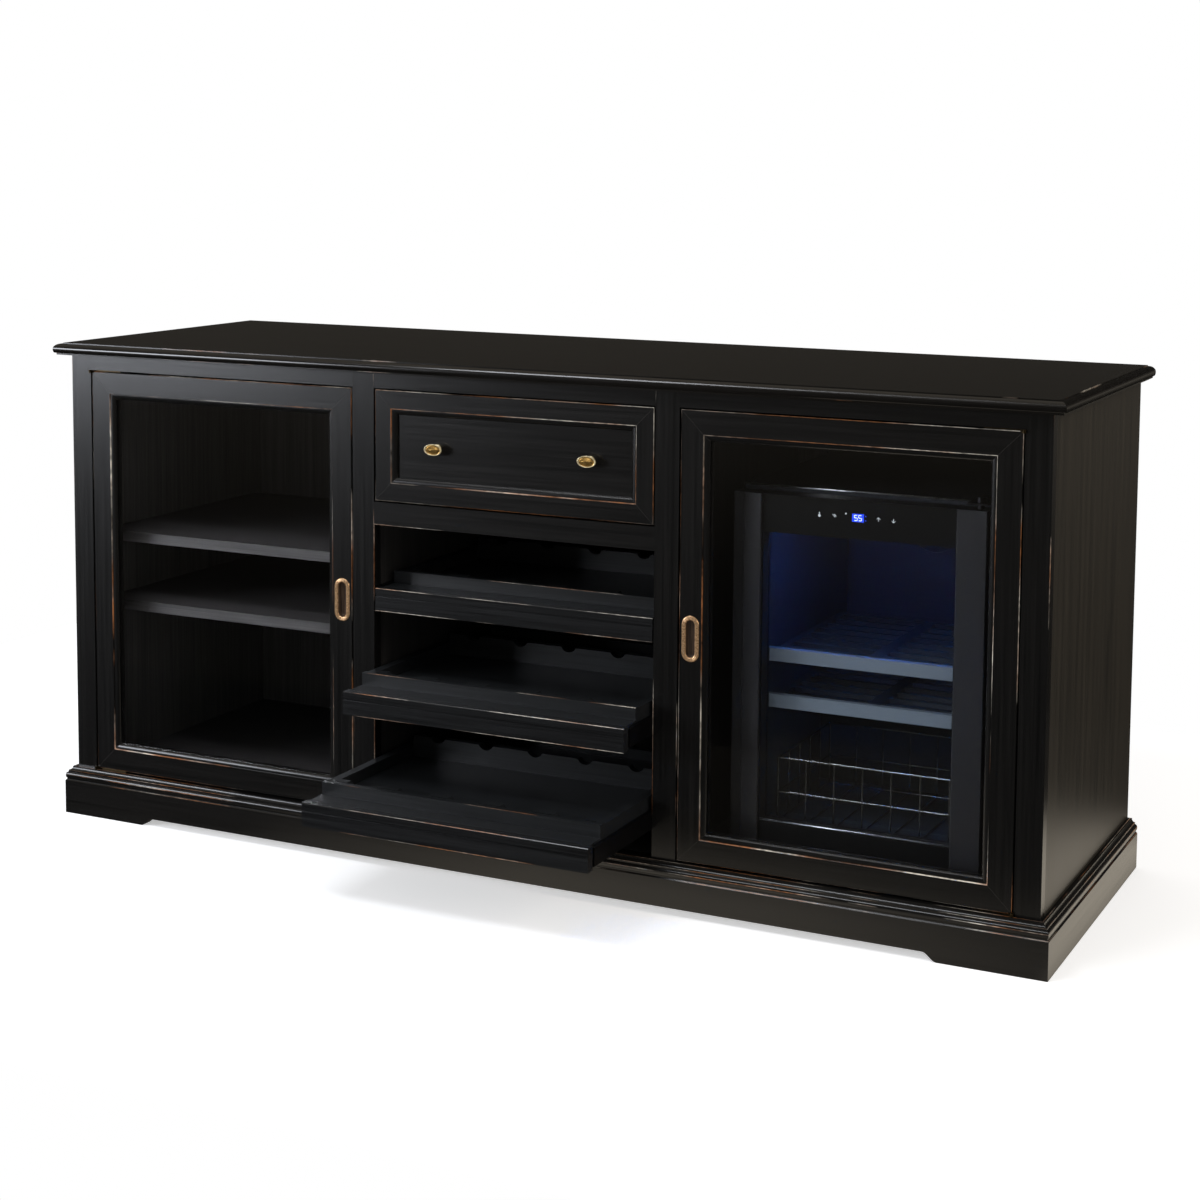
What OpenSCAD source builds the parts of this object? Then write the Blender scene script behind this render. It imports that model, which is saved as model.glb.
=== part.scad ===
// Wine credenza: a stained cabinet with two framed glass doors, a drawer over three
// pull-out bottle racks, and a separate cooler behind the right door.
// X runs along the front, Y from the front to the back, Z up.
// The origin is on the floor under the middle of the top board.

/* [Overall] */
// Width of the top board
top_w = 1905; // [1800:5:2200]
// Depth of the top board, front to back
top_d = 615; // [600:5:700]
// Height from the floor to the top
overall_h = 895; // [880:5:1000]
// Thickness of the top board
top_t = 22; // [20:1:30]
// Overhang of the top board at the front and the ends
top_over = 25; // [22:1:35]

/* [Moulded edge of the top] */
// Height of the notch under the nose
edge_notch_h = 3.5; // [2:0.5:6]
// Depth of the notch, in from the nose
edge_notch_d = 5; // [4:0.5:8]
// How far the rounding runs in over the nose
edge_round = 12; // [8:0.5:16]
// Height of the small step above the rounding
edge_step = 1.5; // [1:0.5:3]

/* [Face frame] */
// Thickness of the face frame
frame_t = 22; // [20:1:26]
// Width of each of the four stiles
stile_w = 43; // [38:1:55]
// Width of the middle bay's opening
middle_w = 539; // [520:1:600]
// Height of the rail under the top
top_rail_h = 27; // [22:1:40]
// Height of the drawer's opening
drawer_open_h = 200; // [170:1:230]
// Height of the rail under the drawer
drawer_rail_h = 40; // [30:1:50]
// Height of the bottom rail's underside above the floor
bottom_rail_z = 20; // [16:1:40]

/* [Carcass] */
// Thickness of the side panels
side_t = 19; // [16:1:22]
// Thickness of the two partitions
partition_t = 22; // [19:1:25]
// How far the partitions stand back from the middle opening
partition_set = 5.5; // [4:0.5:8]
// Thickness of the floor panel
floor_t = 19; // [16:1:22]
// Thickness of the back panels
back_t = 6; // [4:0.5:8]
// Height of the back rails
back_rail_h = 60; // [40:5:90]
// Thickness of the back rails
back_rail_t = 19; // [16:1:22]
// Number of vent slots across the panel behind the cooler
vent_columns = 3; // [2:1:4]
// Number of vent slots up that panel
vent_rows = 7; // [4:1:9]
// Width of the block that carries the middle of the floor panel
support_w = 60; // [55:5:80]
// Radius of the pad under that block
pad_r = 25; // [20:1:26]
// Thickness of the pad
pad_t = 6; // [4:1:8]

/* [Base] */
// Height of the plinth boards
plinth_h = 64; // [56:1:80]
// Thickness of the plinth boards
plinth_t = 18; // [18:0.5:22]
// Width of the chamfer along the plinth's top edge
plinth_chamfer = 2; // [1:0.5:3]
// Length of each bracket foot along the front
foot_l = 177; // [140:1:220]
// Height of the cut between the feet
arch_h = 14; // [8:1:18]
// Length of the curve from a foot up to the cut
arch_run = 24; // [16:1:40]
// Height of the base moulding
moulding_h = 24; // [22:1:32]
// How far the base moulding's nose stands out
moulding_out = 17.5; // [16.5:0.5:18]
// How far its upper fillet stands out
fillet_out = 13.5; // [13:0.5:14]
// Width of its flat top
moulding_flat = 7.8; // [6:0.2:10]
// Height of its cove
cove_h = 6.6; // [4:0.2:8]
// Height of its fillet
fillet_h = 3.3; // [2:0.1:4]
// Height of its rounded nose
nose_h = 11.5; // [9:0.5:12]

/* [Left bay] */
// Thickness of the shelves
shelf_t = 19; // [16:1:25]
// Depth of the shelves
shelf_d = 500; // [400:10:520]
// Gap between the face's front and the shelves
shelf_set = 60; // [50:5:60]
// Height of the upper shelf above the bay's floor
upper_shelf_h = 429; // [410:1:460]
// Height of the lower shelf above the bay's floor
lower_shelf_h = 298; // [250:1:320]
// Gap at each end of a shelf
shelf_gap = 1; // [0.5:0.5:2]
// Radius of the shelf pins
shelf_pin_r = 2.5; // [2:0.5:3]
// How far a pin goes into the wood
shelf_pin_in = 9; // [6:1:12]
// How far a pin reaches under the shelf
shelf_pin_out = 11; // [8:1:16]
// Width of the flat on which the shelf lies
shelf_pin_flat = 12; // [8:1:16]
// Distance of a pin in from the shelf's front or back
shelf_pin_inset = 40; // [30:5:80]
// Number of T-shaped stemware rails
stem_rails = 5; // [4:1:6]
// Width of the slot between two stemware rails
stem_slot = 40; // [30:1:44]
// Width of a stemware rail's stem
stem_w = 20; // [16:1:26]
// Height of the stem over the flange
stem_h = 40; // [30:1:45]
// Thickness of the flange
stem_flange_t = 10; // [8:1:12]
// Distance of the outer stems from the ends of the bay's opening
stem_margin = 30; // [26:1:40]
// Gap between a magnetic catch and the stemware rails behind it
stem_gap = 4; // [1:0.5:12]

/* [Doors] */
// Gap round each door and round the drawer front
door_gap = 3; // [2.5:0.5:4]
// Thickness of the doors and the drawer front
door_t = 22; // [20:1:22]
// Width of a door member from its outer edge to the sight edge
door_face = 40; // [36:1:50]
// Width of the moulded edge inside the sight edge
stick_w = 10; // [8:0.5:12]
// Depth from the front to the back of that moulded edge
stick_d = 8; // [7:0.5:10]
// Width of the eased outer edges
ease = 1; // [0.5:0.5:1.5]
// Thickness of the door glass
glass_t = 4; // [3:0.5:5]
// Gap between the glass and its rebate
glass_gap = 1; // [0.5:0.5:2]

/* [Flush pulls] */
// Width of the pull's opening
pull_w = 16; // [14:0.5:18]
// Height of the pull's opening
pull_h = 62; // [50:1:75]
// Width of the ring round the opening
pull_ring = 7.5; // [6:0.5:9]
// How far the ring stands proud of the door
pull_proud = 2; // [1:0.5:3]
// Depth of the cup behind the face
pull_cup = 11; // [9:0.5:13]
// Wall of the cup
pull_wall = 1.5; // [1:0.5:2]
// Height of the pulls' middle above the floor
pull_z = 466; // [440:1:500]

/* [Door pivots and catches] */
// How far the pivot stands in from the stile
pivot_in = 1.5; // [1:0.1:1.5]
// How far the pivot stands out from the face
pivot_out = 3; // [2.9:0.1:3.5]
// Radius of the pivot discs
pivot_disc_r = 3.2; // [3:0.1:3.2]
// Radius of the pivot pins
pivot_pin_r = 1.6; // [1.4:0.1:1.8]
// Radial clearance of every pin in its hole
pin_fit = 0.05; // [0.02:0.01:0.08]
// Thickness of the pivot leaves
leaf_t = 2.4; // [2:0.1:2.4]
// Length of the pivot leaves
leaf_l = 60; // [50:1:80]
// Width of the pivot leaves
leaf_w = 15; // [12:1:15]
// Length of a magnetic catch from the partition
catch_l = 39; // [36:1:45]
// Height of a magnetic catch
catch_h = 21; // [18:1:26]
// Depth of a magnetic catch
catch_d = 26; // [20:1:30]
// Gap between a catch and the strike plate on the door
catch_gap = 0.2; // [0.1:0.1:0.5]
// Thickness of the strike plate on the door
strike_t = 1.7; // [1:0.1:2]
// Width of the strike plate
strike_w = 16; // [12:1:20]
// Distance of the strike plate in from the door's edge
strike_in = 2.5; // [2:0.5:6]
// How far the catch reaches past the strike plate at the top and bottom
strike_under = 3; // [1:0.5:4]

/* [Drawer] */
// Width of a drawer front member from its outer edge to the sight edge
drawer_face = 32; // [28:1:36]
// Depth from the front to the sunk panel
drawer_sink = 9; // [8:0.5:10]
// Thickness of the drawer's boards
drawer_board = 12; // [10:1:14]
// Height of the drawer's sides
drawer_side_h = 138; // [110:1:150]
// Height of the drawer's sides above the rail
drawer_lift = 16; // [12:1:22]
// Length of the drawer's box
drawer_l = 460; // [420:5:480]
// Thickness of the drawer's bottom
drawer_bottom_t = 6; // [4:0.5:8]
// Height of the drawer's bottom above the lower edge of its boards
drawer_bottom_up = 6; // [4:0.5:12]
// Distance of the drawer's slides below the middle of its front
drawer_rail_drop = 15; // [5:1:30]
// Distance of each knob from the middle
knob_x = 147; // [120:1:180]
// Width of a knob
knob_w = 35; // [30:1:40]
// Height of a knob
knob_h = 20; // [16:1:24]
// How far a knob stands out from the sunk panel
knob_out = 19; // [16:1:22]

/* [Bottle racks] */
// Height from the rail down to the top rack's ledge
rack_drop = 113; // [108:1:120]
// Height of the bottom rack's ledge above the floor panel
rack_floor = 83; // [75:1:90]
// How far each rack is drawn out, from the top one down
rack_pull = [0, 107, 235];
// Height of a rack's front board
rack_board_h = 40; // [34:1:48]
// Thickness of a rack's front board
rack_board_t = 18; // [16:1:22]
// Gap at each end of a rack's front board
rack_gap = 2.5; // [2:0.5:3]
// Height down to the groove in the board
groove_drop = 12; // [8:1:16]
// Width of the groove
groove_w = 3; // [2:0.5:4]
// Depth of the groove
groove_d = 2; // [1:0.5:3]
// Distance from the board's front to the lip
lip_set = 55; // [45:1:65]
// Thickness of the lip and the rack's inner boards
rack_inner_t = 12; // [10:1:14]
// Height of the lip over the ledge
lip_h = 22; // [20:1:26]
// Thickness of a rack's side rails
rack_rail_t = 16; // [12:1:18]
// Height of the side rails over the ledge
rack_rail_up = 20; // [18:1:24]
// Depth of the side rails under the ledge
rack_rail_down = 38; // [32:1:40]
// Length of a rack, front to back
rack_l = 500; // [470:5:520]
// Number of bottles on a rack
bottle_count = 5; // [4:1:5]
// Distance between two bottles
bottle_pitch = 98; // [94:1:98]
// Radius of a bottle's body cradle
bottle_r = 39; // [38:0.5:41]
// Radius of a bottle's neck cradle
neck_r = 16; // [15:0.5:18]
// Height of a bottle's axis over the ledge
bottle_axis = 45; // [45:1:50]
// Thickness of a cradle
cradle_t = 15; // [12:1:20]
// Distance from the lip to the body cradle
body_cradle_set = 8; // [4:1:20]
// Distance from the rack's front to the neck cradle
neck_cradle_set = 330; // [300:5:350]
// How far a bottle's axis lies over the top of the neck cradle
neck_cradle_drop = 7; // [4:0.5:10]

/* [Slides] */
// Space at each side between a box and the stile's edge
slide_space = 7.5; // [6:0.5:9]
// Running gap between a moving rail and its fixed track
slide_gap = 0.5; // [0.3:0.1:0.6]
// Height of a moving rail
slide_rail_h = 31; // [26:1:34]
// Height of the track's lips
track_lip_h = 4; // [3:0.5:5]
// Depth of the track's lips
track_lip_d = 5; // [3:0.5:5]
// Length of a fixed track
track_l = 500; // [480:5:520]
// Gap between the face frame and the tracks
track_gap = 4; // [2:0.5:8]
// Gap between a rack's front board and its moving rails
rail_front_gap = 2; // [1:0.5:4]
// Distance from a rack's back to the ends of its moving rails
rail_back_gap = 20; // [10:1:40]

/* [Cooler case] */
// Width of the cooler
cooler_w = 428; // [400:2:440]
// Height of the cooler over its feet
cooler_h = 614; // [580:1:640]
// Distance from the face's front to the cooler's door
cooler_set = 60; // [58:1:66]
// Space between the cooler and the back panel
cooler_back_gap = 24; // [20:1:40]
// Height of the cooler's feet
cooler_foot_h = 12; // [10:1:16]
// Thickness of the cooler's sheet case
case_t = 1.5; // [1:0.5:2]
// Thickness of the liner
liner_t = 2.5; // [2:0.5:3]
// Width and half the height of the liner's ribs
liner_rib = 8; // [6:1:10]
// Distance of the feet in from the cooler's sides
foot_in = 64; // [40:1:90]
// Distance of the feet in from the front and the back of the cooler's floor
foot_set = 35; // [25:1:60]
// Radius of the feet
foot_r = 18; // [12:1:22]
// Wall at each side of the cooler's inside
wall_side = 38; // [34:1:42]
// Wall under the cooler's inside
wall_low = 46; // [40:1:50]
// Wall over the cooler's inside
wall_high = 40; // [34:1:46]
// Wall behind the cooler's inside
wall_back = 40; // [34:1:46]
// Depth of the machine space
machine_d = 130; // [122:1:140]
// Height of the machine space
machine_h = 150; // [146:1:160]

/* [Cooler door] */
// Thickness of the cooler's door without its gasket
cooler_door_t = 42; // [38:1:44]
// Thickness of the gasket
gasket_t = 8; // [6:0.5:10]
// Width of the gasket
gasket_w = 18; // [14:1:20]
// Width of the two upright bars
bar_w = 50; // [44:1:56]
// Thickness of the outer pane
pane_t = 6; // [4:0.5:8]
// How far the bars stand proud of the outer pane
bar_proud = 1.5; // [1:0.5:3]
// Width of the grip strip beside the left bar
grip_w = 19; // [14:1:24]
// Height of the band over the window
band_h = 63; // [55:1:70]
// Height of the band under the window
skirt_h = 54; // [46:1:60]
// Radius of the cooler's hinge pins
hinge_pin_r = 3; // [2.5:0.5:4]
// Distance of the hinge pins in from the door's edge
hinge_in = 15.5; // [14:0.5:17]
// Distance of the hinge pins behind the door's front
hinge_back = 15; // [13:0.5:17]
// Length of a hinge pin inside the door
hinge_pin_l = 18; // [12:1:24]
// Thickness of the hinge brackets
hinge_arm_t = 3; // [2:0.5:4]
// Radius of the cap over the upper hinge
hinge_cap_r = 6; // [5:0.5:8]
// Height of that cap over the cooler's case
hinge_cap_h = 12; // [8:1:14]
// How far the hinge brackets run back over the case
hinge_over = 50; // [30:5:80]
// Gap between the cooler's door and the case's lower edge
door_low = 6; // [5:0.5:10]
// Gap between the cooler's door and the case's upper edge
door_high = 8; // [6:0.5:12]
// Depth of the inner pane's groove round the window
pane_groove = 5; // [3:0.5:8]
// Thickness of the inner pane
inner_pane_t = 4; // [3:0.5:5]
// Distance of the inner pane from the back of the door
inner_pane_set = 6; // [4:0.5:10]
// Width of the display module
display_w = 90; // [70:1:120]
// Height of the display module
display_h = 24; // [18:1:30]
// Depth of the display module
display_d = 10; // [6:0.5:14]
// Distance of the display's middle below the top of the cooler's door
display_drop = 28; // [22:1:34]

/* [Cooler fittings] */
// Height of the upper shelf's front over the inside floor
upper_front_h = 273; // [260:1:300]
// Height of the lower shelf's front over the inside floor
lower_front_h = 195; // [180:1:210]
// Height of the shelf fronts
shelf_front_h = 22; // [18:1:26]
// Thickness of the shelf fronts
shelf_front_t = 12; // [10:1:14]
// Thickness of the shelf decks
deck_t = 8; // [6:1:10]
// Width of the basket
basket_w = 299; // [280:1:320]
// Depth of the basket
basket_d = 250; // [220:1:255]
// Height of the basket's rim over the inside floor
basket_h = 110; // [90:1:120]
// Height of the basket's middle wire over the inside floor
basket_mid_h = 52; // [40:1:60]
// Radius of the basket's wire
wire_r = 1.6; // [1.2:0.1:2]
// Gap between the shelf fronts or the basket and the cooler's door frame
fitting_gap = 1; // [1:0.5:3]
// Number of slots across each half of a shelf deck, front to back
deck_slots = 8; // [5:1:10]
// Depth of the fan cover
cover_d = 40; // [34:1:44]
// Sheet thickness of the fan cover
cover_t = 3; // [2:0.5:4]
// Distance of the fan's axis below the liner's roof
fan_drop = 74; // [66:1:80]
// Radius of the fan
fan_r = 42; // [36:1:44]
// Radius of the fan's hub
hub_r = 11; // [9:0.5:14]
// Radius of the fan's motor
motor_r = 18; // [14:1:22]
// Radius of the fan's shaft
shaft_r = 2; // [1.5:0.5:3]
// Number of fan blades
fan_blades = 5; // [4:1:7]
// Distance of the light strip in from the liner's sides
light_in = 50; // [30:1:80]
// Depth of the light strip
light_d = 12; // [8:1:16]
// Height of the light strip
light_h = 5; // [4:0.5:8]

/* [Cooling machine] */
// Radius of the compressor
comp_r = 52; // [46:1:54]
// Height of the compressor's straight side
comp_side = 62; // [54:1:64]
// Height of the compressor's dome
comp_dome = 36; // [30:1:38]
// Radius of the compressor's rubber feet
comp_foot_r = 7; // [5:0.5:8]
// Height of the compressor's rubber feet
comp_foot_h = 10; // [8:0.5:12]
// Thickness of the compressor's tray
tray_t = 2; // [1:0.5:3]
// Distance of the compressor left of the cooler's middle
comp_x = 60; // [50:1:70]
// Distance of the mains inlet right of the cooler's middle
inlet_x = 130; // [110:1:150]
// Radius of the condenser's tube
tube_r = 2.4; // [2:0.1:3]
// Number of runs of the condenser's tube
tube_runs = 9; // [7:2:13]
// Distance of the condenser behind the case
tube_back = 6; // [5:0.5:10]

/* [Hidden] */
$fn = 64;

// Colours as photographed
stain = "#1c1b1b";
inner_stain = "#232120";
brass = "#b08d4a";
steel = "#8d9092";
clear_glass = "#9fb3b8";
dark_metal = "#2b2c2f";
grey_blue = "#7d8a96";
chrome = "#c9ccd0";
rubber = "#161616";
white_plastic = "#d9dbdc";
blue_light = "#3c62ff";
maple = "#8a7355";
foam_yellow = "#e4dfc8";

// Glue line left between the boards of one group
glue_line = 0.1;
// Overlap that makes a cut run clear through a face
through = 1;

// Places on the front, measured from the middle, the floor and the face's front
front_y = top_over - top_d / 2;
body_d = top_d - top_over;
body_h = overall_h - top_t;
half_w = top_w / 2 - top_over;
back_in = body_d - back_t;
side_in = half_w - side_t;
mid_x = middle_w / 2;
bay_x0 = mid_x + stile_w;
bay_x1 = half_w - stile_w;
bay_x = (bay_x0 + bay_x1) / 2;
head_z = body_h - top_rail_h;
rail_z1 = head_z - drawer_open_h;
rail_z0 = rail_z1 - drawer_rail_h;
deck_z = plinth_h + moulding_h;
part_x0 = mid_x + partition_set;
part_x1 = part_x0 + partition_t;
part_mid = (part_x0 + part_x1) / 2;

// Doors, drawer and racks
door_x = [bay_x0 + door_gap, bay_x1 - door_gap];
door_z = [deck_z + door_gap, head_z - door_gap];
door_member = door_face + stick_w;
pull_x = door_x[0] + door_face / 2;
pivot_x = bay_x1 - pivot_in;
catch_z = head_z - catch_h - top_rail_h / 2;
catch_y = door_t + strike_t + catch_gap;
drawer_half = mid_x - door_gap;
drawer_z = [rail_z1 + door_gap, head_z - door_gap];
box_half = mid_x - slide_space;
box_z = rail_z1 + drawer_lift;
rack_pitch = (rail_z0 - rack_drop - deck_z - rack_floor) / 2;
rack_z = [for (i = [0:2]) rail_z0 - rack_drop - i * rack_pitch];
track_set = frame_t + track_gap;
slide_levels = concat([(drawer_z[0] + drawer_z[1]) / 2 - drawer_rail_drop],
                      [for (z = rack_z) z - rack_rail_down / 2]);
rack_in = box_half - rack_rail_t;

// Cooler
cooler_half = cooler_w / 2;
cooler_z0 = deck_z + cooler_foot_h;
cooler_z1 = cooler_z0 + cooler_h;
case_y0 = cooler_set + cooler_door_t + gasket_t;
case_y1 = back_in - cooler_back_gap;
step_y = case_y1 - machine_d;
step_z = cooler_z0 + machine_h;
inner_half = cooler_half - wall_side;
inner_z0 = cooler_z0 + wall_low;
inner_z1 = cooler_z1 - wall_high;
inner_y1 = case_y1 - wall_back;
inner_step_y = step_y - wall_back;
inner_step_z = step_z + wall_high;
cooler_door_z = [cooler_z0 + door_low, cooler_z1 - door_high];
door_body_y = cooler_set + pane_t;
door_back_y = cooler_set + cooler_door_t;
bar_lap = 2;
window_half = cooler_half - bar_w - bar_lap;
window_z = [cooler_door_z[0] + skirt_h, cooler_door_z[1] - band_h];
hinge_x = cooler_half - hinge_in;
hinge_y = cooler_set + hinge_back;
cover_y = inner_y1 - cover_d;
fan_y = cover_y + cover_d * 0.45;
fan_z = inner_z1 - fan_drop;
front_y0 = case_y0 + fitting_gap;
deck_y1 = cover_y - 10;

// Puts what is drawn from the face's front at its place in Y
module from_face() {
    translate([0, front_y, 0]) children();
}

// The same piece at the right and mirrored at the left
module both_sides() {
    children();
    mirror([1, 0, 0]) children();
}

// A box between two places on each axis
module block(x, y, z) {
    translate([x[0], y[0], z[0]]) cube([x[1] - x[0], y[1] - y[0], z[1] - z[0]]);
}

// A section drawn in [depth, height], run along the front from x0 to x1
module along_x(x0, x1) {
    translate([x0, 0, 0]) rotate([90, 0, 90]) linear_extrude(x1 - x0) children();
}

// A section drawn in [x, height], run backwards from y0 to y1
module along_y(y0, y1) {
    translate([0, y1, 0]) rotate([90, 0, 0]) linear_extrude(y1 - y0) children();
}

// A round bar from y0 to y1
module bar_y(r, y0, y1) {
    translate([0, y0, 0]) rotate([-90, 0, 0]) cylinder(r = r, h = y1 - y0);
}

// A round bar from x0 to x1
module bar_x(r, x0, x1) {
    translate([x0, 0, 0]) rotate([0, 90, 0]) cylinder(r = r, h = x1 - x0);
}

// Points of an elliptical arc from angle a0 to a1
function arc(cx, cy, rx, ry, a0, a1, n = 8) =
    [for (i = [0:n]) let (a = a0 + (a1 - a0) * i / n) [cx + rx * cos(a), cy + ry * sin(a)]];

// Moulded edge of the top: [distance in from the nose, height over the underside]
function edge_section() = concat(
    [[edge_notch_d, 0], [edge_notch_d, edge_notch_h]],
    arc(edge_notch_d - 2, top_t / 2, edge_notch_d - 2, top_t / 2 - edge_notch_h, 270, 180),
    arc(edge_round, top_t / 2, edge_round, top_t / 2 - edge_step, 180, 90),
    [[edge_round + 2, top_t - edge_step], [edge_round + 2, top_t]]
);

module top_panel() {
    edge = edge_section();
    last = len(edge) - 1;
    color(stain) from_face() translate([0, 0, body_h]) intersection() {
        along_x(-top_w / 2, top_w / 2)
            polygon(concat([for (p = edge) [p[0] - top_over, p[1]]], [[body_d, top_t], [body_d, 0]]));
        along_y(-top_over, body_d)
            polygon(concat([for (p = edge) [top_w / 2 - p[0], p[1]]],
                           [for (i = [0:last]) [edge[last - i][0] - top_w / 2, edge[last - i][1]]]));
    }
}

module face_frame_stiles() {
    color(stain) from_face() both_sides() {
        block([bay_x1, half_w], [0, frame_t], [0, body_h]);
        block([mid_x, bay_x0], [0, frame_t], [bottom_rail_z, body_h]);
    }
}

// One rail in the middle bay and one in each end bay, between two heights
module rails_between(z, ends) {
    block([-mid_x, mid_x], [0, frame_t], z);
    if (ends) both_sides() block([bay_x0, bay_x1], [0, frame_t], z);
}

module face_frame_rails() {
    color(stain) from_face() {
        rails_between([head_z, body_h], true);
        rails_between([rail_z0, rail_z1], false);
        rails_between([bottom_rail_z, deck_z], true);
    }
}

// The two heights and four plan places of the shelf pins in the left bay
module at_shelf_pins() {
    for (z = [deck_z + lower_shelf_h, deck_z + upper_shelf_h])
        for (y = [shelf_set + shelf_pin_inset, shelf_set + shelf_d - shelf_pin_inset])
            translate([0, y, z - shelf_pin_r]) {
                translate([-side_in, 0, 0]) children();
                translate([-part_x1, 0, 0]) mirror([1, 0, 0]) children();
            }
}

module shelf_pins() {
    color(steel) from_face() at_shelf_pins() {
        bar_x(shelf_pin_r, -shelf_pin_in, shelf_pin_out);
        block([0, shelf_pin_out], [-shelf_pin_flat / 2, shelf_pin_flat / 2], [shelf_pin_r - 2, shelf_pin_r]);
    }
}

module pin_holes() {
    at_shelf_pins() bar_x(shelf_pin_r + pin_fit, -shelf_pin_in - through, through);
}

module side_panels() {
    color(stain) from_face() difference() {
        both_sides() block([side_in, half_w], [frame_t, body_d], [0, body_h]);
        pin_holes();
    }
}

module partitions() {
    color(inner_stain) from_face() difference() {
        both_sides() block([part_x0, part_x1], [frame_t, back_in], [deck_z, body_h]);
        pin_holes();
    }
}

module floor_panel() {
    color(inner_stain) from_face() block([-side_in, side_in], [frame_t, back_in], [deck_z - floor_t, deck_z]);
}

module back_panels() {
    color(inner_stain) from_face() {
        block([-side_in, -part_mid - glue_line / 2], [back_in, body_d], [deck_z - floor_t, body_h]);
        block([-part_mid + glue_line / 2, part_mid - glue_line / 2], [back_in, body_d],
              [deck_z - floor_t, body_h]);
    }
}

// Panel behind the cooler, with rows of slots over its middle
module vented_back_panel() {
    slot_l = 120;
    slot_h = 10;
    column_pitch = (side_in - part_mid) / (vent_columns + 0.5);
    row_pitch = (body_h - deck_z) / (vent_rows + 1);
    color(inner_stain) from_face() difference() {
        block([part_mid + glue_line / 2, side_in], [back_in, body_d], [deck_z - floor_t, body_h]);
        for (i = [0:vent_columns - 1])
            for (k = [1:vent_rows])
                translate([(part_mid + side_in) / 2 + (i - (vent_columns - 1) / 2) * column_pitch, 0,
                           deck_z + k * row_pitch])
                    block([-slot_l / 2, slot_l / 2], [back_in - through, body_d + through],
                          [-slot_h / 2, slot_h / 2]);
    }
}

module back_rails() {
    y = [back_in - back_rail_t, back_in];
    color(inner_stain) from_face() {
        both_sides() block([part_x1, side_in], y, [body_h - back_rail_h, body_h]);
        block([-part_x0, part_x0], y, [body_h - back_rail_h, body_h]);
        block([-side_in, side_in], y, [0, deck_z - floor_t]);
    }
}

// Carries a section of [distance out, height] round the front and both ends, mitred at the corners
module around_base(section, out) {
    e = glue_line / 2;
    intersection() {
        along_x(-half_w - out, half_w + out) polygon([for (p = section) [-p[0], p[1]]]);
        linear_extrude(deck_z)
            polygon([[-half_w + e, 0], [half_w - e, 0], [half_w + out - e, -out], [-half_w - out + e, -out]]);
    }
    both_sides() intersection() {
        along_y(-out, body_d) polygon([for (p = section) [half_w + p[0], p[1]]]);
        linear_extrude(deck_z)
            polygon([[half_w, e], [half_w + out, e - out], [half_w + out, body_d], [half_w, body_d]]);
    }
}

// Outline of the cut between the bracket feet, with a smooth rise at each end
function arch_outline() = let (x = half_w + plinth_t - foot_l, n = 8) concat(
    [[-x, -through]],
    [for (i = [0:n]) [-x + arch_run * i / n, arch_h * (1 - cos(180 * i / n)) / 2]],
    [for (i = [0:n]) [x - arch_run + arch_run * i / n, arch_h * (1 + cos(180 * i / n)) / 2]],
    [[x, -through]]
);

module plinth_boards() {
    c = plinth_chamfer;
    section = [[0, 0], [plinth_t, 0], [plinth_t, plinth_h - c], [plinth_t - c, plinth_h], [0, plinth_h]];
    color(stain) from_face() difference() {
        around_base(section, plinth_t);
        along_y(-plinth_t - through, through) polygon(arch_outline());
    }
}

// Base moulding: cove, fillet, rounded nose and a small set-back foot, from the top down
function moulding_section() = let (
    fillet_z = deck_z - cove_h,
    nose_z = fillet_z - fillet_h,
    nose_mid = nose_z - nose_h / 2
) concat(
    [[0, deck_z]],
    arc(fillet_out - 1, deck_z, fillet_out - 1 - moulding_flat, cove_h, 180, 270),
    [[fillet_out, fillet_z]],
    arc(fillet_out, nose_mid, moulding_out - fillet_out, nose_h / 2, 90, 0),
    arc(moulding_out - 2, nose_mid, 2, nose_h / 2, 0, -90),
    [[moulding_out - 2, plinth_h], [0, plinth_h]]
);

module base_moulding() {
    color(stain) from_face() around_base(moulding_section(), plinth_t);
}

// Block and round pad that carry the middle of the floor panel; the origin is under the pad
module centre_foot() {
    half = support_w / 2;
    color(inner_stain) block([-half, half], [-half, half], [pad_t + glue_line, deck_z - floor_t]);
    color(rubber) cylinder(r = pad_r, h = pad_t);
}

module bay_shelves() {
    color(inner_stain) from_face()
        for (z = [deck_z + lower_shelf_h, deck_z + upper_shelf_h])
            block([-side_in + shelf_gap, -part_x1 - shelf_gap], [shelf_set, shelf_set + shelf_d],
                  [z, z + shelf_t]);
}

// T-shaped rails under the top, spaced evenly over the left bay
module stemware_rack() {
    pitch = (bay_x1 - bay_x0 - 2 * stem_margin) / (stem_rails - 1);
    half = (pitch - stem_slot) / 2;
    low = body_h - stem_h - stem_flange_t;
    shoulder = low + stem_flange_t;
    stem = stem_w / 2;
    color(inner_stain) from_face()
        for (i = [0:stem_rails - 1])
            translate([-bay_x + (i - (stem_rails - 1) / 2) * pitch, 0, 0])
                along_y(catch_y + catch_d + stem_gap, shelf_set + shelf_d)
                    polygon([[-half, low], [half, low], [half, shoulder], [stem, shoulder], [stem, body_h],
                             [-stem, body_h], [-stem, shoulder], [-half, shoulder]]);
}

// Member of a framed front: [distance in from the outer edge, depth from the front]
function member_section(face, depth) = concat(
    [[ease, 0], [face - ease / 2, 0], [face, ease / 2], [face, 2]],
    arc(face + 1.5, depth - 1, stick_w - 1.5, depth - 3, -90, 0),
    [[face + stick_w, depth], [face, depth], [face, door_t], [0, door_t], [0, ease]]
);

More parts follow.
